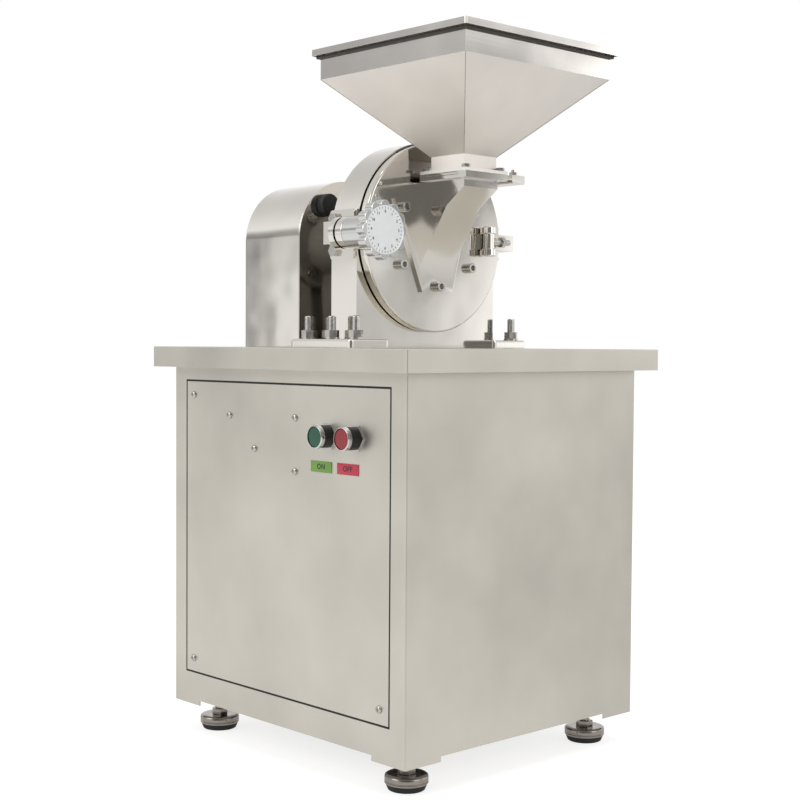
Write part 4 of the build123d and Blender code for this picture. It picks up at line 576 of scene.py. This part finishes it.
def new_finish(name, **inputs):
    """A material with one Principled shader."""
    finish = bpy.data.materials.new(name)
    finish.use_nodes = True
    tree = finish.node_tree
    tree.nodes.clear()
    shader = add(tree, "ShaderNodeBsdfPrincipled", inputs)
    add(tree, "ShaderNodeOutputMaterial", {"Surface": shader.outputs["BSDF"]})
    return finish, tree, shader


def per_metre(size_mm):
    """A texture's scale for features of a real size."""
    return 1000.0 / size_mm


# Finishes
def level_lines(tree, line_mm, run_mm):
    """Long level streaks, as a grinding belt leaves them on upright sheet."""
    across, along = per_metre(line_mm), per_metre(run_mm)
    spot = add(tree, "ShaderNodeTexCoord").outputs["Object"]
    drawn = add(tree, "ShaderNodeMapping", {"Vector": spot, "Scale": (along, along, across)})
    return add(tree, "ShaderNodeTexNoise", {"Vector": drawn.outputs["Vector"], "Scale": 1.0, "Detail": 3.0})


def turning_marks(tree, line_mm, run_mm=80):
    """Rings round a part turned along X, as a lathe tool leaves them."""
    across, along = per_metre(line_mm), per_metre(run_mm)
    spot = add(tree, "ShaderNodeTexCoord").outputs["Object"]
    drawn = add(tree, "ShaderNodeMapping", {"Vector": spot, "Scale": (across, along, along)})
    return add(tree, "ShaderNodeTexNoise", {"Vector": drawn.outputs["Vector"], "Scale": 1.0, "Detail": 2.0})


def mottle(tree, patch_mm, detail=3.0):
    """Soft patches of about one size."""
    spot = add(tree, "ShaderNodeTexCoord").outputs["Object"]
    return add(tree, "ShaderNodeTexNoise", {"Vector": spot, "Scale": per_metre(patch_mm), "Detail": detail})


def vary(tree, shader, pattern, code, shade, roughness, swing):
    """Lets a pattern shade the colour and swing the roughness about its middle value."""
    spread = {"Value": pattern.outputs["Fac"], **NOISE_SPAN}
    amount = add(tree, "ShaderNodeMapRange", spread).outputs["Result"]
    tint = linear(code)
    dark = [shade * part for part in tint[:3]] + [1.0]
    colour = add(tree, "ShaderNodeMix", {"Factor": amount, "A": dark, "B": tint}, data_type="RGBA")
    limits = {"To Min": roughness - swing, "To Max": roughness + swing}
    rough = add(tree, "ShaderNodeMapRange", {"Value": amount, **limits})
    tree.links.new(colour.outputs["Result"], shader.inputs["Base Color"])
    tree.links.new(rough.outputs["Result"], shader.inputs["Roughness"])


def raise_by(tree, shader, pattern, strength, depth_mm):
    """Lets a pattern stand out of the surface."""
    links = {"Height": pattern.outputs["Fac"], "Strength": strength, "Distance": depth_mm * MM}
    bump = add(tree, "ShaderNodeBump", links)
    tree.links.new(bump.outputs["Normal"], shader.inputs["Normal"])


def satin_sheet(name, code, roughness):
    # Stainless sheet ground on a belt: a soft sheen, cloudy by hand marks, with faint level lines.
    # The real lines are 0.1 mm apart; they are drawn 5 mm apart so that they show.
    finish, tree, shader = new_finish(name, Metallic=1.0)
    vary(tree, shader, mottle(tree, 150), code, shade=0.84, roughness=roughness, swing=0.05)
    raise_by(tree, shader, level_lines(tree, line_mm=5.0, run_mm=300), strength=0.12, depth_mm=0.3)
    return finish


def polished_sheet(name, code, roughness, wave_mm, depth_mm):
    # Stainless sheet buffed to a mirror: sharp reflections that wander where the sheet is a little wavy,
    # dulled in patches by wiping.
    finish, tree, shader = new_finish(name, Metallic=1.0)
    vary(tree, shader, mottle(tree, 45), code, shade=0.96, roughness=roughness, swing=0.03)
    raise_by(tree, shader, mottle(tree, wave_mm, detail=1.0), strength=0.15, depth_mm=depth_mm)
    return finish


def turned_metal(name, code, roughness, line_mm):
    # Steel turned or ground on a lathe: a streaky sheen across the part.
    # The real marks are 0.1 mm apart; they are drawn some millimetres apart so that they show.
    finish, tree, shader = new_finish(name, Metallic=1.0)
    marks = turning_marks(tree, line_mm)
    vary(tree, shader, marks, code, shade=0.85, roughness=roughness, swing=0.08)
    raise_by(tree, shader, marks, strength=0.1, depth_mm=0.1)
    return finish


def plated_metal(name, code, roughness, smear_mm):
    # Plated or bright drawn metal: a clear gloss with a few handling smears.
    finish, tree, shader = new_finish(name, Metallic=1.0)
    vary(tree, shader, mottle(tree, smear_mm), code, shade=0.9, roughness=roughness, swing=roughness / 2)
    return finish


def stacked_sheets(name, code):
    # Motor laminations, steel sheets on edge: dark and light stripes across the axis.
    # The real sheets are 0.5 mm thick; the stripes are drawn 3 mm apart so that they show.
    finish, tree, shader = new_finish(name, Metallic=1.0)
    stripes = turning_marks(tree, line_mm=3.0)
    vary(tree, shader, stripes, code, shade=0.6, roughness=0.5, swing=0.1)
    raise_by(tree, shader, stripes, strength=0.3, depth_mm=0.3)
    return finish


def moulded(name, code, roughness, ior=1.49):
    # Moulded plastic or rubber: one body colour with a fine spark-eroded grain that breaks up its gloss.
    # The real grain is 0.1 mm; it is drawn at 0.8 mm so that it shows.
    finish, tree, shader = new_finish(name, IOR=ior)
    vary(tree, shader, mottle(tree, 14), code, shade=0.94, roughness=roughness, swing=0.05)
    raise_by(tree, shader, mottle(tree, 0.8), strength=0.05, depth_mm=0.2)
    return finish


def enamelled(name, code, roughness):
    # Sprayed enamel on cast iron: a soft gloss over orange peel, and the casting's own slow unevenness.
    finish, tree, shader = new_finish(name, IOR=1.5)
    vary(tree, shader, mottle(tree, 30), code, shade=0.88, roughness=roughness, swing=0.06)
    raise_by(tree, shader, mottle(tree, 3.0), strength=0.1, depth_mm=0.4)
    return finish


def make_finishes():
    """All the materials, by the slot or the use that they are for."""
    colours = bpy.context.scene.grinder_colours
    return {
        "satin_steel": satin_sheet("satin stainless", colours.satin, roughness=0.40),
        "hopper_steel": satin_sheet("blasted stainless", colours.hopper, roughness=0.58),
        "band_steel": satin_sheet("bright satin stainless", colours.hopper, roughness=0.12),
        "rubbed_steel": plated_metal("rubbed stainless edge", "#E6E3DE", roughness=0.18, smear_mm=40),
        "polished_steel": polished_sheet(
            "buffed stainless", colours.polished, roughness=0.10, wave_mm=90, depth_mm=3.0
        ),
        "cover_steel": polished_sheet(
            "polished thin stainless", colours.polished, roughness=0.09, wave_mm=80, depth_mm=6.0
        ),
        "weld_steel": plated_metal("heat tinted weld", "#B8B0A7", roughness=0.35, smear_mm=6),
        "fastener_steel": plated_metal(
            "bright stainless fastener", colours.fastener, roughness=0.22, smear_mm=6
        ),
        "ground_steel": turned_metal("ground steel", colours.ground, roughness=0.30, line_mm=4.0),
        "bare_iron": turned_metal("bare iron edge", "#8B8680", roughness=0.40, line_mm=6.0),
        "cast_grey": enamelled("enamel on cast iron", colours.casting, roughness=0.45),
        "motor_paint": enamelled("enamel on the motor", colours.motor, roughness=0.40),
        "lamination": stacked_sheets("stacked laminations", "#6B6560"),
        "aluminium": polished_sheet(
            "polished cast aluminium", "#D6D6D4", roughness=0.12, wave_mm=40, depth_mm=1.0
        ),
        # Real rubber on the foot pads; on the strips in the panel gaps the black is painted shade
        "black_rubber": moulded("moulded rubber", "#161616", roughness=0.70, ior=1.52),
        # Dark rubber for the band under the lid's rim: painted shade in the lid's shadow gap
        "lid_shadow_rubber": moulded("dark rubber as painted shade", "#3A3531", roughness=0.65, ior=1.52),
        "black_plastic": moulded("matt black nylon", "#1C1D1E", roughness=0.50),
        "grey_plastic": moulded("matt grey ABS", "#8C9093", roughness=0.50),
        "white_plastic": moulded("gloss white ABS", colours.dial, roughness=0.25),
        "green_plastic": moulded("gloss green polycarbonate", colours.start, roughness=0.22, ior=1.58),
        "red_plastic": moulded("gloss red polycarbonate", colours.stop, roughness=0.22, ior=1.58),
        "chrome_trim": plated_metal("chrome plate", "#DADADA", roughness=0.07, smear_mm=12),
        "foot_metal": plated_metal("dark nickel plate", colours.nickel, roughness=0.16, smear_mm=10),
        "brass_gland": plated_metal("nickelled brass", "#B9AE93", roughness=0.28, smear_mm=8),
        "start_plate": moulded("green enamelled plate", colours.start_plate, roughness=0.40),
        "stop_plate": moulded("red enamelled plate", colours.stop_plate, roughness=0.40),
        "ink": moulded("printing ink", "#26282A", roughness=0.50),
    }


class GRINDER_OT_welds(bpy.types.Operator):
    """Run a weld bead down each slanted corner of the hopper's funnel"""

    bl_idname = "grinder.welds"
    bl_label = "Hopper welds"

    def execute(self, context):
        piece = merged_copy("hopper", "hopper_welds")
        bpy.ops.object.mode_set(mode="EDIT")
        bpy.ops.mesh.select_mode(type="EDGE")
        bpy.ops.mesh.select_all(action="DESELECT")
        mesh = bmesh.from_edit_mesh(piece.data)
        corners = [edge for edge in mesh.edges if self.is_slanted(edge)]
        middle = (HOPPER_LOW + HOPPER_HIGH) / 2
        corners.sort(key=lambda edge: max(abs(vertex.co.y - middle.y) for vertex in edge.verts))
        # The outer four; the others are on the inside of the wall
        for edge in corners[-4:]:
            edge.select_set(True)
        bmesh.update_edit_mesh(piece.data)
        bpy.ops.mesh.select_all(action="INVERT")
        bpy.ops.mesh.delete(type="EDGE_FACE")
        bpy.ops.object.mode_set(mode="OBJECT")
        bpy.ops.object.convert(target="CURVE")
        piece.data.bevel_depth = context.scene.grinder_sizes.bead_radius
        piece.data.bevel_resolution = 3
        bpy.ops.object.convert(target="MESH")
        dress(piece, "weld_steel")
        close_piece(piece, BODY_OF["hopper"])
        return {"FINISHED"}

    def is_slanted(self, edge):
        """Whether an edge runs well across all three axes, as the funnel's corners do."""
        run = edge.verts[0].co - edge.verts[1].co
        return min(abs(run.x), abs(run.y), abs(run.z)) > SLANT * run.length


class GRINDER_OT_round_solids(bpy.types.Operator):
    """Stand a merged copy with rounded, rubbed edges in for each solid, and give it its finish"""

    bl_idname = "grinder.round_solids"
    bl_label = "Round the solids"

    def execute(self, context):
        for node in frame["nodes"]:
            if node in FEET or node == "pan_screws":
                continue
            slot = SLOT_OF[node]
            finish = FINISH_OF.get(node, slot)
            piece = merged_copy(node, f"{node}_rounded")
            dress(piece, finish, RUBBED.get(slot, finish))
            if node in EDGES:
                soften(piece, EDGES[node] * MM, finish_number=1)
            if node == "hopper":
                self.brighten_band(piece)
            close_piece(piece, BODY_OF[node], stands_for=[node])
            if node in EDGES:
                self.flatten_shading(piece)
        return {"FINISHED"}

    def flatten_shading(self, piece):
        """Keeps the shading of the large faces flat beside their rounded edges."""
        make_active(piece)
        flats = piece.modifiers.new("flats", "WEIGHTED_NORMAL")
        flats.keep_sharp = True
        bpy.ops.object.modifier_apply(modifier=flats.name)

    def brighten_band(self, hopper):
        """Gives the hopper's upright band a brighter finish than the funnel."""
        band = HOPPER_HIGH.z - bpy.context.scene.grinder_sizes.band_height
        hopper.data.materials.append(finishes["band_steel"])
        bpy.ops.object.mode_set(mode="EDIT")
        pick_faces(hopper, lambda middle, normal: middle.z > band and abs(normal.z) < LOOKS_ACROSS)
        hopper.active_material_index = len(hopper.data.materials) - 1
        bpy.ops.object.material_slot_assign()
        bpy.ops.object.mode_set(mode="OBJECT")


class GRINDER_OT_feet(bpy.types.Operator):
    """Turn the levelling feet: a plated cup, a hexagon, a stud and a rubber pad"""

    bl_idname = "grinder.feet"
    bl_label = "Levelling feet"

    def execute(self, context):
        cup = turned("cup", FOOT_CUP)
        hexagon = turned("hexagon", FOOT_HEXAGON, vertices=6)
        stud = turned("stud", FOOT_STUD, vertices=32)
        metal = join([cup, hexagon, stud], "foot")
        pad = turned("pad", FOOT_PAD)
        dress(metal, "foot_metal")
        dress(pad, "black_rubber")
        for node in FEET:
            low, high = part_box(node)
            middle = (low + high) / 2
            where = Matrix.Translation((middle.x, middle.y, 0))
            number = node[-1]
            body = BODY_OF[node]
            cup_piece = copy_of(metal, f"foot_cup_{number}", where)
            close_piece(cup_piece, body, stands_for=[node])
            pad_piece = copy_of(pad, f"foot_pad_{number}", where)
            close_piece(pad_piece, body)
        delete(metal)
        delete(pad)
        return {"FINISHED"}


class GRINDER_OT_screws(bpy.types.Operator):
    """Set a pan head screw with a cross recess at each screw's place"""

    bl_idname = "grinder.screws"
    bl_label = "Pan head screws"

    def execute(self, context):
        head = turned("screw", SCREW, vertices=32)
        for turn in (0, pi / 2):
            arm = rounded_block("arm", CROSS_ARM, CROSS_EDGE)
            place(arm, Matrix.Translation((0, 0, CROSS_MIDDLE)) @ Matrix.Rotation(turn, 4, "Z"))
            boolean_cut(head, arm)
        screws = []
        for low, high in loose_boxes("pan_screws"):
            middle = (low + high) / 2
            size = high - low
            if size.z > size.y:
                where = Matrix.Translation((middle.x, middle.y, high.z - SCREW_TOP))
            elif middle.y < 0:
                where = facing("panel", middle.x, low.y + SCREW_TOP, middle.z)
            else:
                where = facing("rear", middle.x, high.y - SCREW_TOP, middle.z)
            screws.append(copy_of(head, "pan_screw", where))
        delete(head)
        piece = join(screws, "pan_screws_cross")
        slot = SLOT_OF["pan_screws"]
        dress(piece, slot)
        close_piece(piece, BODY_OF["pan_screws"], stands_for=["pan_screws"])
        return {"FINISHED"}


class GRINDER_OT_plates(bpy.types.Operator):
    """Put a coloured plate with generic lettering under each button"""

    bl_idname = "grinder.plates"
    bl_label = "Button plates"

    def execute(self, context):
        sizes = context.scene.grinder_sizes
        y = PANEL_LOW.y - sizes.plate_thickness / 2
        for name, words in (("start", "ON"), ("stop", "OFF")):
            low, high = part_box(f"{name}_cap")
            x = (low.x + high.x) / 2 - sizes.plate_shift
            z = (low.z + high.z) / 2 - sizes.plate_drop
            size = (sizes.plate_width, sizes.plate_thickness, sizes.plate_height)
            plate = rounded_block(f"{name}_plate", size, PLATE_EDGE)
            place(plate, Matrix.Translation((x, y, z)))
            dress(plate, f"{name}_plate")
            close_piece(plate, "stand")
            face = y - sizes.plate_thickness / 2
            where = facing("panel", x, face, z)
            words_piece = lettering(f"{name}_words", words, sizes.letter_height, LETTER_RISE, where)
            dress(words_piece, "ink")
            close_piece(words_piece, "stand")
        return {"FINISHED"}


class GRINDER_OT_dial(bpy.types.Operator):
    """Mark the dial with ticks and plain numbers"""

    bl_idname = "grinder.dial"
    bl_label = "Dial marks"

    def execute(self, context):
        sizes = context.scene.grinder_sizes
        middle = (DIAL_LOW + DIAL_HIGH) / 2
        radius = (DIAL_HIGH.z - DIAL_LOW.z) / 2
        tick = rounded_block("tick", sizes.tick_size, TICK_EDGE, segments=1)
        centre = Matrix.Translation((DIAL_HIGH.x, middle.y, middle.z))
        outwards = Matrix.Translation((0, 0, radius - sizes.tick_inset))
        marks = []
        for index in range(sizes.tick_count):
            turn = Matrix.Rotation(2 * pi * index / sizes.tick_count, 4, "X")
            marks.append(copy_of(tick, "mark", centre @ turn @ outwards))
        delete(tick)
        reach = radius - sizes.number_inset
        for index in range(sizes.number_count):
            angle = 2 * pi * index / sizes.number_count
            where = facing("door", DIAL_HIGH.x, middle.y + reach * sin(angle), middle.z + reach * cos(angle))
            marks.append(lettering("number", str(index), sizes.number_height, NUMBER_RISE, where))
        piece = join(marks, "dial_marks")
        dress(piece, "ink")
        close_piece(piece, BODY_OF["dial_plate"])
        return {"FINISHED"}


class GRINDER_OT_seals(bpy.types.Operator):
    """Lay dark rubber bands as painted shade: one round the hopper in the shadow gap under the lid's rim and
    one in the gap round each panel
    """

    bl_idname = "grinder.seals"
    bl_label = "Rubber seals"

    def execute(self, context):
        sizes = context.scene.grinder_sizes
        # The hopper's band is painted shade: dark rubber filling the shadow gap under the lid's rim
        side = HOPPER_HIGH.x - HOPPER_LOW.x - 2 * sizes.seal_inset
        band = square_band("hopper_seal", side, side, sizes.seal_wall, sizes.seal_height, LID_SHADOW_BAND_EDGE)
        middle = (HOPPER_LOW + HOPPER_HIGH) / 2
        place(band, Matrix.Translation((middle.x, middle.y, LID_LOW.z - sizes.seal_height)))
        dress(band, "lid_shadow_rubber")
        close_piece(band, BODY_OF["hopper"])
        # The panels' strips are painted shade: black rubber darkening the gaps round the panels
        for node in ("front_panel", "rear_panel"):
            low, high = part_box(node)
            middle = (low + high) / 2
            wide = high.x - low.x + 2 * sizes.panel_gap
            tall = high.z - low.z + 2 * sizes.panel_gap
            depth = sizes.panel_seal_depth
            band = square_band(f"{node}_seal", wide, tall, sizes.panel_gap, depth, SHADE_STRIP_EDGE)
            place(band, facing("panel", middle.x, middle.y + sizes.panel_seal_back, middle.z))
            dress(band, "black_rubber")
            close_piece(band, BODY_OF[node])
        return {"FINISHED"}


class GRINDER_OT_rivets(bpy.types.Operator):
    """Set the two round rivets in the door's upper edge"""

    bl_idname = "grinder.rivets"
    bl_label = "Door rivets"

    def execute(self, context):
        rivet = turned("rivet", RIVET, vertices=32)
        dress(rivet, "fastener_steel")
        sizes = context.scene.grinder_sizes
        middle = sum(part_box("spindle"), Vector()) / 2
        for number, angle in enumerate(sizes.rivet_angles, start=1):
            y = middle.y + sizes.rivet_reach * cos(angle)
            z = middle.z + sizes.rivet_reach * sin(angle)
            piece = copy_of(rivet, f"door_rivet_{number}", facing("door", DOOR_HIGH.x, y, z))
            close_piece(piece, BODY_OF["door"])
        delete(rivet)
        return {"FINISHED"}


class GRINDER_OT_hoods(bpy.types.Operator):
    """Press a rain hood over each vent in the rear panel"""

    bl_idname = "grinder.hoods"
    bl_label = "Vent hoods"

    def execute(self, context):
        sizes = context.scene.grinder_sizes
        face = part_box("rear_panel")[1].y
        depth, height = sizes.hood_size[1:]
        hood = rounded_block("hood", sizes.hood_size, HOOD_EDGE)
        bpy.ops.object.mode_set(mode="EDIT")
        # It is open below and behind, and its upper outer edge leans back to the panel
        pick_faces(hood, lambda middle, normal: normal.z < -LOOKS_ALONG or normal.y < -LOOKS_ALONG)
        bpy.ops.mesh.delete(type="FACE")
        pick_faces(hood, lambda middle, normal: middle.y > 0.3 * depth and middle.z > height / 3)
        bpy.ops.transform.translate(value=(0, -sizes.hood_lean, 0))
        bpy.ops.object.mode_set(mode="OBJECT")
        sheet = hood.modifiers.new("sheet", "SOLIDIFY")
        sheet.thickness = sizes.hood_sheet
        bpy.ops.object.modifier_apply(modifier=sheet.name)
        hoods = []
        for x in (-sizes.vent_side, sizes.vent_side):
            for row in range(sizes.vent_rows):
                z = sizes.vent_low + sizes.vent_pitch * row
                where = Matrix.Translation((x, face + depth / 2, z))
                hoods.append(copy_of(hood, "hood", where))
        delete(hood)
        piece = join(hoods, "vent_hoods")
        dress(piece, "satin_steel")
        close_piece(piece, BODY_OF["rear_panel"])
        return {"FINISHED"}


class GRINDER_OT_stage(bpy.types.Operator):
    """Set the floor, the lamps, the world and the camera"""

    bl_idname = "grinder.stage"
    bl_label = "Stage"

    def execute(self, context):
        stage = context.scene.grinder_stage
        scene = context.scene
        scene.view_settings.view_transform = "Standard"
        deselect_all()
        bpy.ops.mesh.primitive_plane_add(size=stage.floor_size)
        floor = context.object
        floor.name = "floor"
        floor.data.materials.append(self.floor_finish())
        self.world(scene)
        for name, (where, side, power) in LAMPS.items():
            self.lamp(name, where, side, power)
        self.camera(scene, stage)
        return {"FINISHED"}

    def floor_finish(self):
        # Pale painted studio floor: white to the camera away from the object, with its shadow kept,
        # and a little dimmer in the mirrors towards the window wall.
        finish, tree, shader = new_finish("pale floor", **{"Base Color": linear("#F4F3F1"), "Roughness": 0.8})
        paths = add(tree, "ShaderNodeLightPath").outputs
        spot = add(tree, "ShaderNodeTexCoord").outputs["Object"]
        side = add(tree, "ShaderNodeVectorMath", {0: spot, 1: WINDOW_SIDE}, operation="DOT_PRODUCT")
        reach = {"From Min": -1.2, "From Max": 2.4, "To Min": 0.97, "To Max": 0.58}
        dim = add(
            tree, "ShaderNodeMapRange", {"Value": side.outputs["Value"], **reach},
            interpolation_type="SMOOTHSTEP",
        )
        to_camera = paths["Is Camera Ray"]
        bright = add(
            tree, "ShaderNodeMix", {"Factor": to_camera, "A": dim.outputs["Result"], "B": FLOOR_WHITE}
        )
        glow = add(tree, "ShaderNodeEmission", {"Color": (1, 1, 1, 1), "Strength": bright.outputs["Result"]})
        seen = add(
            tree, "ShaderNodeMath", {0: to_camera, 1: paths["Is Glossy Ray"]}, operation="MAXIMUM"
        )
        share = add(tree, "ShaderNodeMath", {0: seen.outputs["Value"], 1: FLOOR_SHARE}, operation="MULTIPLY")
        mixed = add(
            tree, "ShaderNodeMixShader",
            {0: share.outputs["Value"], 1: shader.outputs["BSDF"], 2: glow.outputs["Emission"]},
        )
        output = next(node for node in tree.nodes if node.type == "OUTPUT_MATERIAL")
        tree.links.new(mixed.outputs["Shader"], output.inputs["Surface"])
        return finish

    def world(self, scene):
        """White behind the object; in the mirrors, a pale studio with a dim ceiling and a few dark cloths."""
        world = bpy.data.worlds.new("studio")
        scene.world = world
        world.use_nodes = True
        tree = world.node_tree
        tree.nodes.clear()
        ahead = add(tree, "ShaderNodeTexCoord").outputs["Generated"]
        height = add(tree, "ShaderNodeSeparateXYZ", {"Vector": ahead}).outputs["Z"]
        ceiling = {"Value": height, "From Min": 0.25, "From Max": 0.8, "To Min": 1.0, "To Max": 0.62}
        room = add(tree, "ShaderNodeMapRange", ceiling, interpolation_type="SMOOTHSTEP").outputs["Result"]
        for depth, sides in CLOTHS:
            cover = depth
            for direction, start, full in sides:
                side = add(tree, "ShaderNodeVectorMath", {0: ahead, 1: direction}, operation="DOT_PRODUCT")
                limits = {"Value": side.outputs["Value"], "From Min": start, "From Max": full}
                inside = add(tree, "ShaderNodeMapRange", limits, interpolation_type="SMOOTHSTEP")
                both = {0: cover, 1: inside.outputs["Result"]}
                cover = add(tree, "ShaderNodeMath", both, operation="MULTIPLY").outputs["Value"]
            left = add(tree, "ShaderNodeMath", {0: 1.0, 1: cover}, operation="SUBTRACT").outputs["Value"]
            room = add(tree, "ShaderNodeMath", {0: room, 1: left}, operation="MULTIPLY").outputs["Value"]
        paths = add(tree, "ShaderNodeLightPath").outputs
        mirrored = add(
            tree, "ShaderNodeMath", {0: paths["Is Glossy Ray"], 1: paths["Is Transmission Ray"]},
            operation="MAXIMUM",
        ).outputs["Value"]
        lit = add(tree, "ShaderNodeMix", {"Factor": mirrored, "A": AMBIENT, "B": room}).outputs["Result"]
        strength = add(tree, "ShaderNodeMix", {"Factor": paths["Is Camera Ray"], "A": lit, "B": 1.0})
        sky = add(
            tree, "ShaderNodeBackground", {"Color": (1, 1, 1, 1), "Strength": strength.outputs["Result"]}
        )
        add(tree, "ShaderNodeOutputWorld", {"Surface": sky.outputs["Background"]})

    def lamp(self, name, where, side, power):
        """A square soft box that points at the middle of the grinder."""
        bpy.ops.object.light_add(type="AREA", location=where)
        lamp = bpy.context.object
        lamp.name = name
        lamp.data.size = side
        lamp.data.energy = power
        aim = LAMP_AIM - Vector(where)
        lamp.rotation_euler = aim.to_track_quat("-Z", "Y").to_euler()

    def camera(self, scene, stage):
        """The camera at the photograph's place, angle and lens."""
        bpy.ops.object.camera_add(location=stage.camera_place)
        camera = bpy.context.object
        camera.name = "camera"
        turn, tilt, roll = stage.camera_turn, stage.camera_tilt, stage.camera_roll
        ahead = Vector((-sin(turn) * cos(tilt), cos(turn) * cos(tilt), -sin(tilt)))
        level = Vector((cos(turn), sin(turn), 0))
        upright = level.cross(ahead)
        right = cos(roll) * level + sin(roll) * upright
        up = cos(roll) * upright - sin(roll) * level
        camera.rotation_euler = Matrix((right, up, -ahead)).transposed().to_euler()
        camera.data.sensor_fit = "HORIZONTAL"
        camera.data.sensor_width = FRAME_WIDTH
        camera.data.lens = stage.lens
        scene.camera = camera


class GRINDER_PT_panel(bpy.types.Panel):
    """Lists the grinder's steps"""

    bl_idname = "GRINDER_PT_panel"
    bl_label = "Sugar grinder"
    bl_space_type = "VIEW_3D"
    bl_region_type = "UI"
    bl_category = "Grinder"

    def draw(self, context):
        for step in STEPS:
            self.layout.operator(step.bl_idname)


GROUPS = (GrinderColours, GrinderSizes, GrinderStage)
STEPS = (
    GRINDER_OT_welds, GRINDER_OT_round_solids, GRINDER_OT_feet, GRINDER_OT_screws, GRINDER_OT_plates,
    GRINDER_OT_dial, GRINDER_OT_seals, GRINDER_OT_rivets, GRINDER_OT_hoods, GRINDER_OT_stage,
)


def register():
    for group in (*GROUPS, *STEPS, GRINDER_PT_panel):
        bpy.utils.register_class(group)
    bpy.types.Scene.grinder_colours = PointerProperty(type=GrinderColours)
    bpy.types.Scene.grinder_sizes = PointerProperty(type=GrinderSizes)
    bpy.types.Scene.grinder_stage = PointerProperty(type=GrinderStage)


def unregister():
    del bpy.types.Scene.grinder_stage
    del bpy.types.Scene.grinder_sizes
    del bpy.types.Scene.grinder_colours
    for group in reversed((*GROUPS, *STEPS, GRINDER_PT_panel)):
        bpy.utils.unregister_class(group)


def main():
    register()
    finishes.update(make_finishes())
    bpy.ops.grinder.welds()
    bpy.ops.grinder.round_solids()
    bpy.ops.grinder.feet()
    bpy.ops.grinder.screws()
    bpy.ops.grinder.plates()
    bpy.ops.grinder.dial()
    bpy.ops.grinder.seals()
    bpy.ops.grinder.rivets()
    bpy.ops.grinder.hoods()
    bpy.ops.grinder.stage()


if __name__ == "__main__":
    main()
